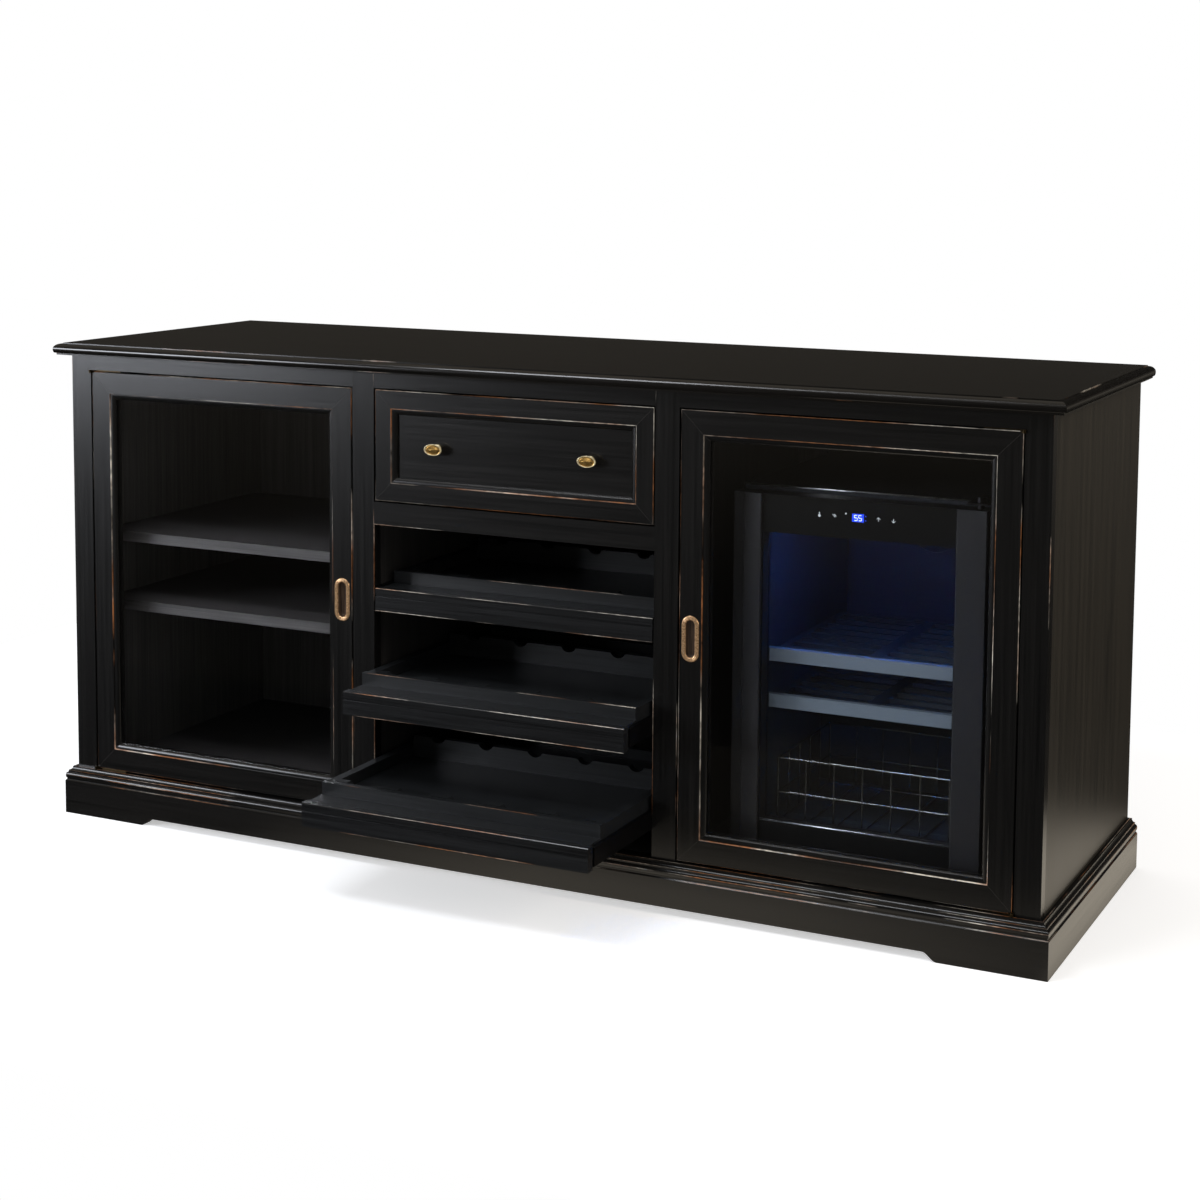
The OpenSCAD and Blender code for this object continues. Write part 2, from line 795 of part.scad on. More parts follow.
// Four mitred members round a rectangle, each its own solid
module mitred_frame(x, z, section, m) {
    e = glue_line / 2;
    for (side = [[z[0], 1], [z[1], -1]]) intersection() {
        along_x(x[0], x[1]) polygon([for (p = section) [p[1], side[0] + side[1] * p[0]]]);
        along_y(-through, door_t + through)
            polygon([[x[0] + e, side[0]], [x[1] - e, side[0]], [x[1] - e - m, side[0] + side[1] * m],
                     [x[0] + e + m, side[0] + side[1] * m]]);
    }
    for (side = [[x[0], 1], [x[1], -1]]) intersection() {
        translate([0, 0, z[0]]) linear_extrude(z[1] - z[0])
            polygon([for (p = section) [side[0] + side[1] * p[0], p[1]]]);
        along_y(-through, door_t + through)
            polygon([[side[0], z[0] + e], [side[0] + side[1] * m, z[0] + e + m],
                     [side[0] + side[1] * m, z[1] - e - m], [side[0], z[1] - e]]);
    }
}

// Square bars behind the glass, one in each rebate
module glass_stops() {
    y = [stick_d + glass_t, door_t];
    x = [door_x[0] + door_face, door_x[1] - door_face];
    z = [door_z[0] + door_face, door_z[1] - door_face];
    g = glue_line;
    block([x[0] + g, x[1] - g], y, [z[0] + g, z[0] + stick_w]);
    block([x[0] + g, x[1] - g], y, [z[1] - stick_w, z[1] - g]);
    block([x[0] + g, x[0] + stick_w], y, [z[0] + stick_w + g, z[1] - stick_w - g]);
    block([x[1] - stick_w, x[1] - g], y, [z[0] + stick_w + g, z[1] - stick_w - g]);
}

// A pivot leaf at height z: a plate let into the door's edge, an arm to its corner and a disc
module pivot_leaf(z) {
    plate_x = -pivot_disc_r - 0.8;
    plate_y = pivot_out + 3;
    arm_w = 4.4;
    arm_l = 12;
    translate([pivot_x, -pivot_out, z]) {
        block([plate_x - leaf_l, plate_x], [plate_y, plate_y + leaf_w], [0, leaf_t]);
        rotate([0, 0, 135]) block([0, arm_l], [-arm_w / 2, arm_w / 2], [0, leaf_t]);
        cylinder(r = pivot_disc_r, h = leaf_t);
    }
}

// The flush pull's place on the right door
module at_pull() {
    translate([pull_x, 0, pull_z]) children();
}

// A slot-shaped solid between two depths
module racetrack(w, h, y) {
    straight = (h - w) / 2;
    block([-w / 2, w / 2], y, [-straight, straight]);
    for (s = [-1, 1]) translate([0, 0, s * straight]) bar_y(w / 2, y[0], y[1]);
}

module door_frame() {
    color(stain) difference() {
        mitred_frame(door_x, door_z, member_section(door_face, stick_d), door_member);
        at_pull() racetrack(pull_w + 2 * pull_wall, pull_h + 2 * pull_wall, [-through, pull_cup]);
        pivot_leaf(door_z[0]);
        pivot_leaf(door_z[1] - leaf_t);
    }
    color(stain) glass_stops();
}

module door_glass() {
    in = door_face + glass_gap;
    color(clear_glass, 0.4)
        block([door_x[0] + in, door_x[1] - in], [stick_d, stick_d + glass_t],
              [door_z[0] + in, door_z[1] - in]);
}

// A rounded ring round a slot-shaped cup, as one section carried round the slot
module door_pull() {
    r = pull_w / 2;
    straight = pull_h - pull_w;
    section = concat(
        [[0, -pull_cup], [r + pull_wall, -pull_cup], [r + pull_wall, 0], [r + pull_ring, 0]],
        arc(r + pull_ring / 2, 0, pull_ring / 2, pull_proud, 20, 160, 10),
        [[r, 0], [r, pull_wall - pull_cup], [0, pull_wall - pull_cup]]
    );
    color(brass) at_pull() {
        for (turn = [0, 180]) rotate([0, turn, 0]) {
            translate([0, 0, straight / 2]) rotate([90, 0, 0]) rotate_extrude(angle = 180) polygon(section);
            translate([0, 0, -straight / 2]) linear_extrude(straight)
                polygon([for (p = section) [p[0], -p[1]]]);
        }
    }
}

// Moving pivot leaves and the strike plate of the catch
module door_fittings() {
    color(brass) difference() {
        for (z = [door_z[0], door_z[1] - leaf_t]) pivot_leaf(z);
        translate([pivot_x, -pivot_out, 0]) cylinder(r = pivot_pin_r + pin_fit, h = body_h);
    }
    x = door_x[0] + strike_in;
    color(steel) block([x, x + strike_w], [door_t, door_t + strike_t],
                       [catch_z + strike_under, catch_z + catch_h - strike_under]);
}

module left_door_frame() {
    from_face() mirror([1, 0, 0]) door_frame();
}

module left_door_glass() {
    from_face() mirror([1, 0, 0]) door_glass();
}

module left_door_pull() {
    from_face() mirror([1, 0, 0]) door_pull();
}

module left_door_fittings() {
    from_face() mirror([1, 0, 0]) door_fittings();
}

module right_door_frame() {
    from_face() door_frame();
}

module right_door_glass() {
    from_face() door_glass();
}

module right_door_pull() {
    from_face() door_pull();
}

module right_door_fittings() {
    from_face() door_fittings();
}

// Fixed leaves on the rails, each with the pin that its door turns on
module door_pivot_brackets() {
    color(brass) from_face() both_sides() {
        pivot_leaf(deck_z);
        pivot_leaf(head_z - leaf_t);
        translate([pivot_x, -pivot_out, deck_z]) cylinder(r = pivot_pin_r, h = door_gap + leaf_t);
        translate([pivot_x, -pivot_out, head_z - door_gap - leaf_t])
            cylinder(r = pivot_pin_r, h = door_gap + leaf_t);
    }
}

module door_catches() {
    color(rubber) from_face() both_sides()
        block([part_x1, part_x1 + catch_l], [catch_y, catch_y + catch_d], [catch_z, catch_z + catch_h]);
}

module drawer_front() {
    color(stain) from_face()
        mitred_frame([-drawer_half, drawer_half], drawer_z, member_section(drawer_face, drawer_sink),
                     drawer_face + stick_w);
}

module drawer_panel() {
    in = drawer_face + glass_gap;
    color(stain) from_face()
        block([in - drawer_half, drawer_half - in], [drawer_sink, door_t],
              [drawer_z[0] + in, drawer_z[1] - in]);
}

// Oval knob: a round neck, a swelling back and a crowned face made of thin oval slices.
// Each slice has its share of the knob's width and the share of the way out where it starts.
module knob() {
    slices = [[0.55, 0.32], [0.85, 0.42], [1, 0.53], [1, 0.68], [0.9, 0.79], [0.7, 0.9], [0, 1]];
    corners = 40;
    bar_y(knob_h * 0.3, -slices[1][1] * knob_out, 0);
    for (i = [0:len(slices) - 2])
        along_y(-slices[i + 1][1] * knob_out, -slices[i][1] * knob_out)
            polygon(arc(0, 0, slices[i][0] * knob_w / 2, slices[i][0] * knob_h / 2,
                        0, 360 * (1 - 1 / corners), corners - 1));
}

module drawer_knobs() {
    color(brass) from_face()
        for (s = [-1, 1]) translate([s * knob_x, drawer_sink, (drawer_z[0] + drawer_z[1]) / 2]) knob();
}

// The space that the drawer's bottom fills, let into the four boards
module drawer_bottom_space() {
    in = drawer_board / 2;
    z = box_z + drawer_bottom_up;
    block([-box_half + in, box_half - in], [door_t + in, door_t + drawer_l - in], [z, z + drawer_bottom_t]);
}

module drawer_box() {
    z = [box_z, box_z + drawer_side_h];
    in = box_half - drawer_board - glue_line;
    color(maple) from_face() difference() {
        union() {
            both_sides() block([box_half - drawer_board, box_half], [door_t, door_t + drawer_l], z);
            block([-in, in], [door_t, door_t + drawer_board], z);
            block([-in, in], [door_t + drawer_l - drawer_board, door_t + drawer_l], z);
        }
        drawer_bottom_space();
    }
}

module drawer_bottom() {
    color(maple) from_face() drawer_bottom_space();
}

// A moving rail on each side of a box, at one height and between two depths
module moving_rails(z, y) {
    color(steel) both_sides()
        block([box_half, mid_x - slide_gap], y, [z - slide_rail_h / 2, z + slide_rail_h / 2]);
}

module drawer_rails() {
    from_face() moving_rails(slide_levels[0], [door_t, door_t + drawer_l]);
}

// Channels on the partitions that hold the moving rails, two at each level
module slide_tracks() {
    inner = slide_rail_h / 2 + slide_gap;
    outer = inner + track_lip_h;
    x = [mid_x - track_lip_d, mid_x, part_x0];
    color(steel) from_face() both_sides()
        for (z = slide_levels) translate([0, 0, z]) along_y(track_set, track_set + track_l)
            polygon([[x[2], -outer], [x[2], outer], [x[0], outer], [x[0], inner],
                     [x[1], inner], [x[1], -inner], [x[0], -inner], [x[0], -outer]]);
}

// Puts rack i at its place, drawn out as photographed; its ledge is at height 0
module at_rack(i) {
    from_face() translate([0, -rack_pull[i], rack_z[i]]) children();
}

module rack_front(i) {
    color(stain) at_rack(i) along_x(-mid_x + rack_gap, mid_x - rack_gap)
        polygon([[0, -rack_board_h], [rack_board_t, -rack_board_h], [rack_board_t, 0], [ease, 0], [0, -ease],
                 [0, -groove_drop], [groove_d, -groove_drop], [groove_d, -groove_drop - groove_w],
                 [0, -groove_drop - groove_w]]);
}

// Upright board across a rack with a round cut for each bottle
module cradle(y, top, r) {
    difference() {
        block([-rack_in + glue_line, rack_in - glue_line], [y, y + cradle_t], [glue_line, top]);
        for (i = [0:bottle_count - 1])
            translate([(i - (bottle_count - 1) / 2) * bottle_pitch, 0, bottle_axis])
                bar_y(r, y - through, y + cradle_t + through);
    }
}

module rack_tray(i) {
    t = rack_inner_t;
    half = rack_in - glue_line;
    rise_y = lip_set + t + glue_line;
    color(inner_stain) at_rack(i) {
        both_sides() along_x(rack_in, box_half)
            polygon([[rack_board_t, -rack_rail_down], [rack_l, -rack_rail_down], [rack_l, rack_rail_up],
                     [rise_y, rack_rail_up], [rise_y, 0], [rack_board_t, 0]]);
        block([-half, half], [rack_board_t, rack_l - t - glue_line], [-t, 0]);
        block([-half, half], [rack_l - t, rack_l], [-rack_rail_down, rack_rail_up]);
        block([-box_half, box_half], [lip_set, lip_set + t], [glue_line, lip_h]);
        cradle(lip_set + t + body_cradle_set, rack_rail_up, bottle_r);
        cradle(neck_cradle_set, bottle_axis - neck_cradle_drop, neck_r);
    }
}

module rack_rails(i) {
    at_rack(i) moving_rails(-rack_rail_down / 2, [rack_board_t + rail_front_gap, rack_l - rail_back_gap]);
}

module rack_top_front() {
    rack_front(0);
}

module rack_top_tray() {
    rack_tray(0);
}

module rack_top_rails() {
    rack_rails(0);
}

module rack_middle_front() {
    rack_front(1);
}

module rack_middle_tray() {
    rack_tray(1);
}

module rack_middle_rails() {
    rack_rails(1);
}

module rack_bottom_front() {
    rack_front(2);
}

module rack_bottom_tray() {
    rack_tray(2);
}

module rack_bottom_rails() {
    rack_rails(2);
}

// Puts what is drawn from the cooler's middle at its place in the right bay
module at_cooler() {
    from_face() translate([bay_x, 0, 0]) children();
}

// Side view of the cooler's body, with the step over its machine space
module cooler_outline(low, step, back, high, front) {
    polygon([[front, low], [step[0], low], [step[0], step[1]], [back, step[1]], [back, high], [front, high]]);
}

// The body's side view set in by t from the outside
module case_inset(t, front) {
    cooler_outline(cooler_z0 + t, [step_y - t, step_z + t], case_y1 - t, cooler_z1 - t, front);
}

// The inside's side view swollen by t
module inside_swollen(t, front) {
    cooler_outline(inner_z0 - t, [inner_step_y + t, inner_step_z - t], inner_y1 + t, inner_z1 + t, front);
}

module cooler_case() {
    t = case_t;
    color(dark_metal) at_cooler() {
        difference() {
            along_x(-cooler_half, cooler_half) case_inset(0, case_y0);
            along_x(-cooler_half + t, cooler_half - t) case_inset(t, case_y0 - through);
        }
        both_sides() block([cooler_half - t, cooler_half], [step_y, case_y1], [cooler_z0, step_z]);
    }
}

module cooler_insulation() {
    color(foam_yellow) at_cooler() difference() {
        along_x(-cooler_half + case_t, cooler_half - case_t) case_inset(case_t, case_y0 + liner_t);
        along_x(-inner_half - liner_t, inner_half + liner_t) inside_swollen(liner_t, case_y0 - through);
    }
}

// Heights of the two cooler shelves
function front_zs() = [inner_z0 + lower_front_h, inner_z0 + upper_front_h];

module cooler_liner() {
    flange = cooler_half - case_t;
    rib_y0 = front_y0 + shelf_front_t + 1;
    color(white_plastic) at_cooler() {
        difference() {
            union() {
                along_x(-inner_half - liner_t, inner_half + liner_t) inside_swollen(liner_t, case_y0);
                block([-flange, flange], [case_y0, case_y0 + liner_t],
                      [cooler_z0 + case_t, cooler_z1 - case_t]);
            }
            along_x(-inner_half, inner_half) inside_swollen(0, case_y0 - through);
        }
        for (z = front_zs())
            both_sides() block([inner_half - liner_rib, inner_half], [rib_y0, deck_y1],
                               [z - liner_rib / 2, z + liner_rib / 2]);
    }
}

module cooler_shelf_fronts() {
    half = inner_half - 4;
    color(grey_blue) at_cooler()
        for (z = front_zs())
            block([-half, half], [front_y0, front_y0 + shelf_front_t], [z, z + shelf_front_h]);
}

// Slatted decks on the liner's ribs
module cooler_shelf_decks() {
    y = [front_y0 + shelf_front_t, deck_y1];
    half = inner_half - 5;
    margin = 10;
    slat = 12;
    pitch = (y[1] - y[0] - 2 * margin) / deck_slots;
    slot_x = half / 2 - slat;
    slot_y = (pitch - slat) / 2;
    color(grey_blue) at_cooler()
        for (z = front_zs()) translate([0, 0, z + liner_rib / 2]) difference() {
            block([-half, half], y, [0, deck_t]);
            for (i = [0:deck_slots - 1])
                for (s = [-1, 1])
                    translate([s * half / 2, y[0] + margin + (i + 0.5) * pitch, 0])
                        block([-slot_x, slot_x], [-slot_y, slot_y], [-through, deck_t + through]);
        }
}

// A straight wire between two points along X, Y or Z, with round ends
module wire(a, b) {
    v = b - a;
    translate(a) {
        sphere(r = wire_r, $fn = 24);
        if (v[0] != 0) bar_x(wire_r, 0, v[0], $fn = 24);
        if (v[1] != 0) bar_y(wire_r, 0, v[1], $fn = 24);
        if (v[2] != 0) cylinder(r = wire_r, h = v[2], $fn = 24);
    }
    translate(b) sphere(r = wire_r, $fn = 24);
}

module cooler_basket() {
    x = basket_w / 2 - wire_r;
    y0 = front_y0 + 3;
    y = [y0, y0 + basket_d];
    low = inner_z0 + wire_r;
    levels = [low, inner_z0 + basket_mid_h, inner_z0 + basket_h];
    across = 6;
    deep = 5;
    color(chrome) at_cooler() {
        for (z = levels) {
            for (yy = y) wire([-x, yy, z], [x, yy, z]);
            for (s = [-1, 1]) wire([s * x, y[0], z], [s * x, y[1], z]);
        }
        for (i = [0:across]) {
            xx = -x + 2 * x * i / across;
            for (yy = y) wire([xx, yy, levels[0]], [xx, yy, levels[2]]);
            wire([xx, y[0], low], [xx, y[1], low]);
        }
        for (k = [1:deep - 1]) {
            yy = y[0] + (y[1] - y[0]) * k / deep;
            for (s = [-1, 1]) wire([s * x, yy, levels[0]], [s * x, yy, levels[2]]);
        }
    }
}

// Box cover over the evaporator, with a guarded hole for the fan and slots below
module cooler_fan_cover() {
    t = cover_t;
    side_gap = 26;
    roof_gap = 6;
    step_gap = 8;
    hole = fan_r + 4;
    spoke = 3;
    slot_h = 6;
    slot_pitch = 14;
    slot_rows = 6;
    half = inner_half - side_gap;
    z = [inner_step_z + step_gap, inner_z1 - roof_gap];
    slot_half = half - 30;
    color(white_plastic) at_cooler() {
        difference() {
            block([-half, half], [cover_y, inner_y1], z);
            block([-half + t, half - t], [cover_y + t, inner_y1 + through], [z[0] + t, z[1] - t]);
            translate([0, 0, fan_z]) bar_y(hole, cover_y - through, cover_y + t + through);
            for (i = [0:slot_rows - 1]) translate([0, 0, z[0] + (i + 1.7) * slot_pitch])
                block([-slot_half, slot_half], [cover_y - through, cover_y + t + through], [0, slot_h]);
        }
        translate([0, 0, fan_z]) for (a = [45, 135]) rotate([0, a, 0])
            block([-hole, hole], [cover_y, cover_y + t], [-spoke / 2, spoke / 2]);
    }
}

// Depths of the fan's hub and shaft, measured from the middle of its blades
hub_y = [-7, 6];
shaft_y = [-5, 8];

module cooler_fan_motor() {
    color(dark_metal) at_cooler() translate([0, 0, fan_z]) {
        bar_y(motor_r, fan_y + shaft_y[1], inner_y1);
        bar_y(shaft_r, fan_y + shaft_y[0], fan_y + shaft_y[1] + through);
    }
}

// Hub and pitched blades round the motor's shaft
module cooler_fan() {
    blade_w = 18;
    blade_t = 1.6;
    root_r = hub_r - 2;
    pitch_angle = 35;
    color(rubber) at_cooler() translate([0, fan_y, fan_z]) difference() {
        union() {
            bar_y(hub_r, hub_y[0], hub_y[1]);
            for (i = [0:fan_blades - 1]) rotate([0, i * 360 / fan_blades, 0])
                translate([root_r, 0, 0]) rotate([pitch_angle, 0, 0])
                    block([0, fan_r - 3 - root_r], [-blade_t / 2, blade_t / 2], [-blade_w / 2, blade_w / 2]);
        }
        bar_y(shaft_r + pin_fit, shaft_y[0] - pin_fit, hub_y[1] + through);
    }
}

// Light strip under the liner's roof, behind the upper shelf's front
module cooler_light() {
    half = inner_half - light_in;
    y = front_y0 + shelf_front_t + 5;
    color(blue_light) at_cooler() block([-half, half], [y, y + light_d], [inner_z1 - light_h, inner_z1]);
}

// Compressor on its tray, with the mains inlet beside it
module cooler_compressor() {
    r = comp_r;
    fillet = 8;
    tray = [cooler_z0, cooler_z0 + tray_t];
    y = (step_y + case_y1) / 2;
    body = concat([[0, 0], [r - fillet, 0]], arc(r - fillet, fillet, fillet, fillet, -90, 0, 6),
                  arc(0, fillet + comp_side, r, comp_dome, 0, 90, 12));
    inlet = [32, 20, 26];
    inlet_wall = 4;
    color(steel) at_cooler() block([-cooler_half + case_t, cooler_half - case_t], [step_y, case_y1], tray);
    color(rubber) at_cooler() translate([-comp_x, y, tray[1]]) {
        for (a = [0, 120, 240]) rotate([0, 0, a])
            translate([r - 2 * comp_foot_r, 0, glue_line])
                cylinder(r = comp_foot_r, h = comp_foot_h, $fn = 32);
        translate([0, 0, comp_foot_h + 2 * glue_line]) rotate_extrude() polygon(body);
    }
    color(rubber) at_cooler() translate([inlet_x - inlet[0] / 2, case_y1 - inlet[1], tray[1] + glue_line])
        difference() {
            cube(inlet);
            translate([inlet_wall, inlet_wall, inlet_wall])
                cube([inlet[0] - 2 * inlet_wall, inlet[1], inlet[2] - 2 * inlet_wall]);
        }
}

// Serpentine tube on the cooler's back, held by two uprights
module cooler_condenser() {
    half = cooler_half - 40;
    margin = 30;
    strip_w = 6;
    strip_end = 10;
    low = step_z + margin;
    pitch = (cooler_z1 - margin - low) / (tube_runs - 1);
    color(rubber) at_cooler() translate([0, case_y1 + tube_back, low]) {
        for (i = [0:tube_runs - 1]) translate([0, 0, i * pitch]) bar_x(tube_r, -half, half, $fn = 24);
        for (i = [0:tube_runs - 2])
            translate([i % 2 == 0 ? half : -half, 0, (i + 0.5) * pitch])
                rotate([90, i % 2 == 0 ? 90 : -90, 0])
                    rotate_extrude(angle = 180) translate([pitch / 2, 0]) circle(r = tube_r, $fn = 24);
        for (s = [-1, 1]) translate([s * half * 0.7, 0, 0])
            block([-strip_w / 2, strip_w / 2], [-tube_back, 0],
                  [-strip_end, (tube_runs - 1) * pitch + strip_end]);
    }
}

module cooler_feet() {
    x = cooler_half - foot_in;
    color(rubber) at_cooler()
        for (s = [-1, 1]) for (y = [case_y0 + foot_set, step_y - foot_set])
            translate([s * x, y, deck_z]) cylinder(r = foot_r, h = cooler_foot_h);
}

// Bracket over the door and one under it, each with the pin that the door turns on
module cooler_hinges() {
    arm = hinge_arm_t;
    pin_y = [hinge_y - 12, case_y0 + hinge_over];
    pin_x = [hinge_x - 20, cooler_half - 1];
    cap_z = cooler_door_z[1] + 1;
    low_z = cooler_z0 - arm;
    color(steel) at_cooler() {
        block(pin_x, pin_y, [cooler_z1, cooler_z1 + arm]);
        block(pin_x, pin_y, [low_z, cooler_z0]);
        translate([hinge_x, hinge_y, cap_z]) cylinder(r = hinge_cap_r, h = cooler_z1 + hinge_cap_h - cap_z);
        translate([hinge_x, hinge_y, cooler_door_z[1] - hinge_pin_l])
            cylinder(r = hinge_pin_r, h = cap_z + 1 - cooler_door_z[1] + hinge_pin_l);
        translate([hinge_x, hinge_y, low_z])
            cylinder(r = hinge_pin_r, h = cooler_door_z[0] + hinge_pin_l - low_z);
    }
}

module cooler_door_frame() {
    depth = hinge_pin_l + 2;
    color(rubber) at_cooler() difference() {
        block([-cooler_half, cooler_half], [door_body_y, door_back_y], cooler_door_z);
        block([-window_half, window_half], [door_body_y - through, door_back_y + through], window_z);
        inner_pane();
        display_module();
        for (z = [cooler_door_z[0] - through, cooler_door_z[1] - depth])
            translate([hinge_x, hinge_y, z]) cylinder(r = hinge_pin_r + pin_fit, h = depth + through);
    }
}

// Second pane, set in a groove round the window
module inner_pane() {
    half = window_half + pane_groove;
    y1 = door_back_y - inner_pane_set;
    block([-half, half], [y1 - inner_pane_t, y1], [window_z[0] - pane_groove, window_z[1] + pane_groove]);
}

module cooler_door_glass() {
    half = cooler_half - bar_w;
    color(clear_glass, 0.4) at_cooler() {
        block([-half, half], [cooler_set, door_body_y], cooler_door_z);
        inner_pane();
    }
}

// Two upright bars with eased edges; the left one has a sunk grip strip along its outer edge
module cooler_door_bars() {
    x = [cooler_half - bar_w, cooler_half];
    front = cooler_set - bar_proud;
    c = 1.5;
    grip_x = grip_w - x[1];
    grip_y = door_body_y - 2;
    color(dark_metal) at_cooler() translate([0, 0, cooler_door_z[0]])
        linear_extrude(cooler_door_z[1] - cooler_door_z[0]) {
            polygon([[x[0], door_body_y], [x[0], front + c], [x[0] + c, front], [x[1] - c, front],
                     [x[1], front + c], [x[1], door_body_y]]);
            polygon([[-x[0], door_body_y], [-x[0], front + c], [-x[0] - c, front], [grip_x + c, front],
                     [grip_x, front + c], [grip_x, grip_y], [-x[1], grip_y], [-x[1], door_body_y]]);
        }
}

module cooler_door_gasket() {
    edge = 14;
    x = cooler_half - edge - 2.5;
    z = [cooler_door_z[0] + edge, cooler_door_z[1] - edge];
    w = gasket_w;
    color(rubber) at_cooler() difference() {
        block([-x, x], [door_back_y, case_y0], z);
        block([w - x, x - w], [door_back_y - through, case_y0 + through], [z[0] + w, z[1] - w]);
    }
}

// Display module behind the band over the window
module display_module() {
    z = cooler_door_z[1] - display_drop;
    block([-display_w / 2, display_w / 2], [door_body_y, door_body_y + display_d],
          [z - display_h / 2, z + display_h / 2]);
}

module cooler_display() {
    color(blue_light) at_cooler() display_module();
}

top_panel();
face_frame_stiles();
face_frame_rails();
side_panels();
partitions();
floor_panel();
back_panels();
vented_back_panel();
back_rails();
plinth_boards();
base_moulding();
centre_foot();
bay_shelves();
shelf_pins();
stemware_rack();
door_pivot_brackets();
door_catches();
slide_tracks();
left_door_frame();
left_door_glass();
left_door_pull();
left_door_fittings();
right_door_frame();
right_door_glass();
right_door_pull();
right_door_fittings();
drawer_front();
drawer_panel();
drawer_knobs();
drawer_box();
drawer_bottom();
drawer_rails();
rack_top_front();
rack_top_tray();
rack_top_rails();
rack_middle_front();
rack_middle_tray();
rack_middle_rails();
rack_bottom_front();
rack_bottom_tray();
rack_bottom_rails();
cooler_case();
cooler_liner();
cooler_insulation();
cooler_shelf_fronts();
cooler_shelf_decks();
cooler_basket();
cooler_fan_cover();
cooler_fan_motor();
cooler_fan();
cooler_light();
cooler_compressor();
cooler_condenser();
cooler_feet();
cooler_hinges();
cooler_door_frame();
cooler_door_bars();
cooler_door_glass();
cooler_door_gasket();
cooler_display();
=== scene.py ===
"""Wine credenza: a black-stained cabinet with framed glass doors, a drawer over three pull-out
racks, and a cooler with its own lit glass door behind the right-hand door."""
import math

import bpy
import numpy as np
from mathutils import Matrix, Vector


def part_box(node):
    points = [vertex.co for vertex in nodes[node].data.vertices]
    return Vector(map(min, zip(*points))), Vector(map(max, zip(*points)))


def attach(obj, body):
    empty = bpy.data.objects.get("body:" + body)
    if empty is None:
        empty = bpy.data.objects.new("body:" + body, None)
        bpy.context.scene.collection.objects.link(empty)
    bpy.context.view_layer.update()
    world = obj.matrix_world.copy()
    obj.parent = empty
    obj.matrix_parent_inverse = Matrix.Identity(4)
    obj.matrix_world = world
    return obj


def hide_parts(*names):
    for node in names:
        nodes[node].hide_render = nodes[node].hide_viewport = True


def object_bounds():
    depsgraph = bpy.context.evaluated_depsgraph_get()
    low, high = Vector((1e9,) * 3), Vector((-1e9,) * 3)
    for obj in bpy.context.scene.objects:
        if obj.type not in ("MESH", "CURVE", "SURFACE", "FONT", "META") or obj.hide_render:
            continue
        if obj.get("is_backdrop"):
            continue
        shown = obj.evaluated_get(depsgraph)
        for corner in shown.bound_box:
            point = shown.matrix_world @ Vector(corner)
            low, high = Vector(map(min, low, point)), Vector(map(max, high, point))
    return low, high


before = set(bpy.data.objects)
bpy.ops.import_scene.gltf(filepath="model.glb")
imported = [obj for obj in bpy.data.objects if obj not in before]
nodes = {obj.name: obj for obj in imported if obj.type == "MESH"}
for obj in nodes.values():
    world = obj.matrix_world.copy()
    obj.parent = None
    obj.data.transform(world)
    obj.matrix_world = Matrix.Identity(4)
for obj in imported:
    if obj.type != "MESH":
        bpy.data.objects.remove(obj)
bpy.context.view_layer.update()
MM = 0.001

# Camera, set up as the photograph was taken: a long lens a little to the right of the cabinet
# and just above its top, raised on its mount so that the uprights stay nearly parallel.
photo_px = 1200
focal_px = 2223.4
horizon_px = 360
eye = Vector((1.76595, -3.56132, 1.27585))
yaw, pitch, roll = 0.4535, -0.0983, -0.0069

turn = Matrix.Rotation(yaw, 3, "Z") @ Matrix.Rotation(pitch, 3, "X") @ Matrix.Rotation(roll, 3, "Y")
lens_turn = turn @ Matrix.Rotation(math.radians(90), 3, "X")
camera_data = bpy.data.cameras.new("camera")
camera_data.sensor_width = 36
camera_data.lens = focal_px * camera_data.sensor_width / photo_px
camera_data.shift_y = (horizon_px - photo_px / 2) / photo_px
camera = bpy.data.objects.new("camera", camera_data)
camera.matrix_world = Matrix.Translation(eye) @ lens_turn.to_4x4()
bpy.context.scene.collection.objects.link(camera)
bpy.context.scene.camera = camera
bpy.context.scene.view_settings.view_transform = "Standard"


# Studio: a white floor that keeps a soft shadow, in a white surround. The lacquer mirrors only the
# floor close to the base, brightest before the middle and faint at the left, and a dim room that is
# lighter along its horizon and overhead, as it would between black flags on a studio table.
def colour(code):
    """Linear colour of an sRGB hex code: the usual sRGB curve, undone for each channel."""
    parts = [int(code[i:i + 2], 16) / 255 for i in (1, 3, 5)]
    return (*[c / 12.92 if c <= 0.04045 else ((c + 0.055) / 1.055) ** 2.4 for c in parts], 1.0)


def add(tree, kind, settings=None, inputs=None, out=0):
    """Adds a node, sets its properties, sets or links its inputs, and returns one of its outputs."""
    node = tree.nodes.new("ShaderNode" + kind)
    for name, value in (settings or {}).items():
        setattr(node, name, value)
    for key, value in (inputs or {}).items():
        if isinstance(value, bpy.types.NodeSocket):
            tree.links.new(value, node.inputs[key])
        else:
            node.inputs[key].default_value = value
    return node.outputs[out]


def new_material(name):
    """An empty material with nodes, and its tree."""
    made = bpy.data.materials.new(name)
    made.use_nodes = True
    made.node_tree.nodes.clear()
    return made, made.node_tree


def show(tree, shader):
    """Links a shader to the material's output."""
    output = tree.nodes.new("ShaderNodeOutputMaterial")
    tree.links.new(shader, output.inputs["Surface"])


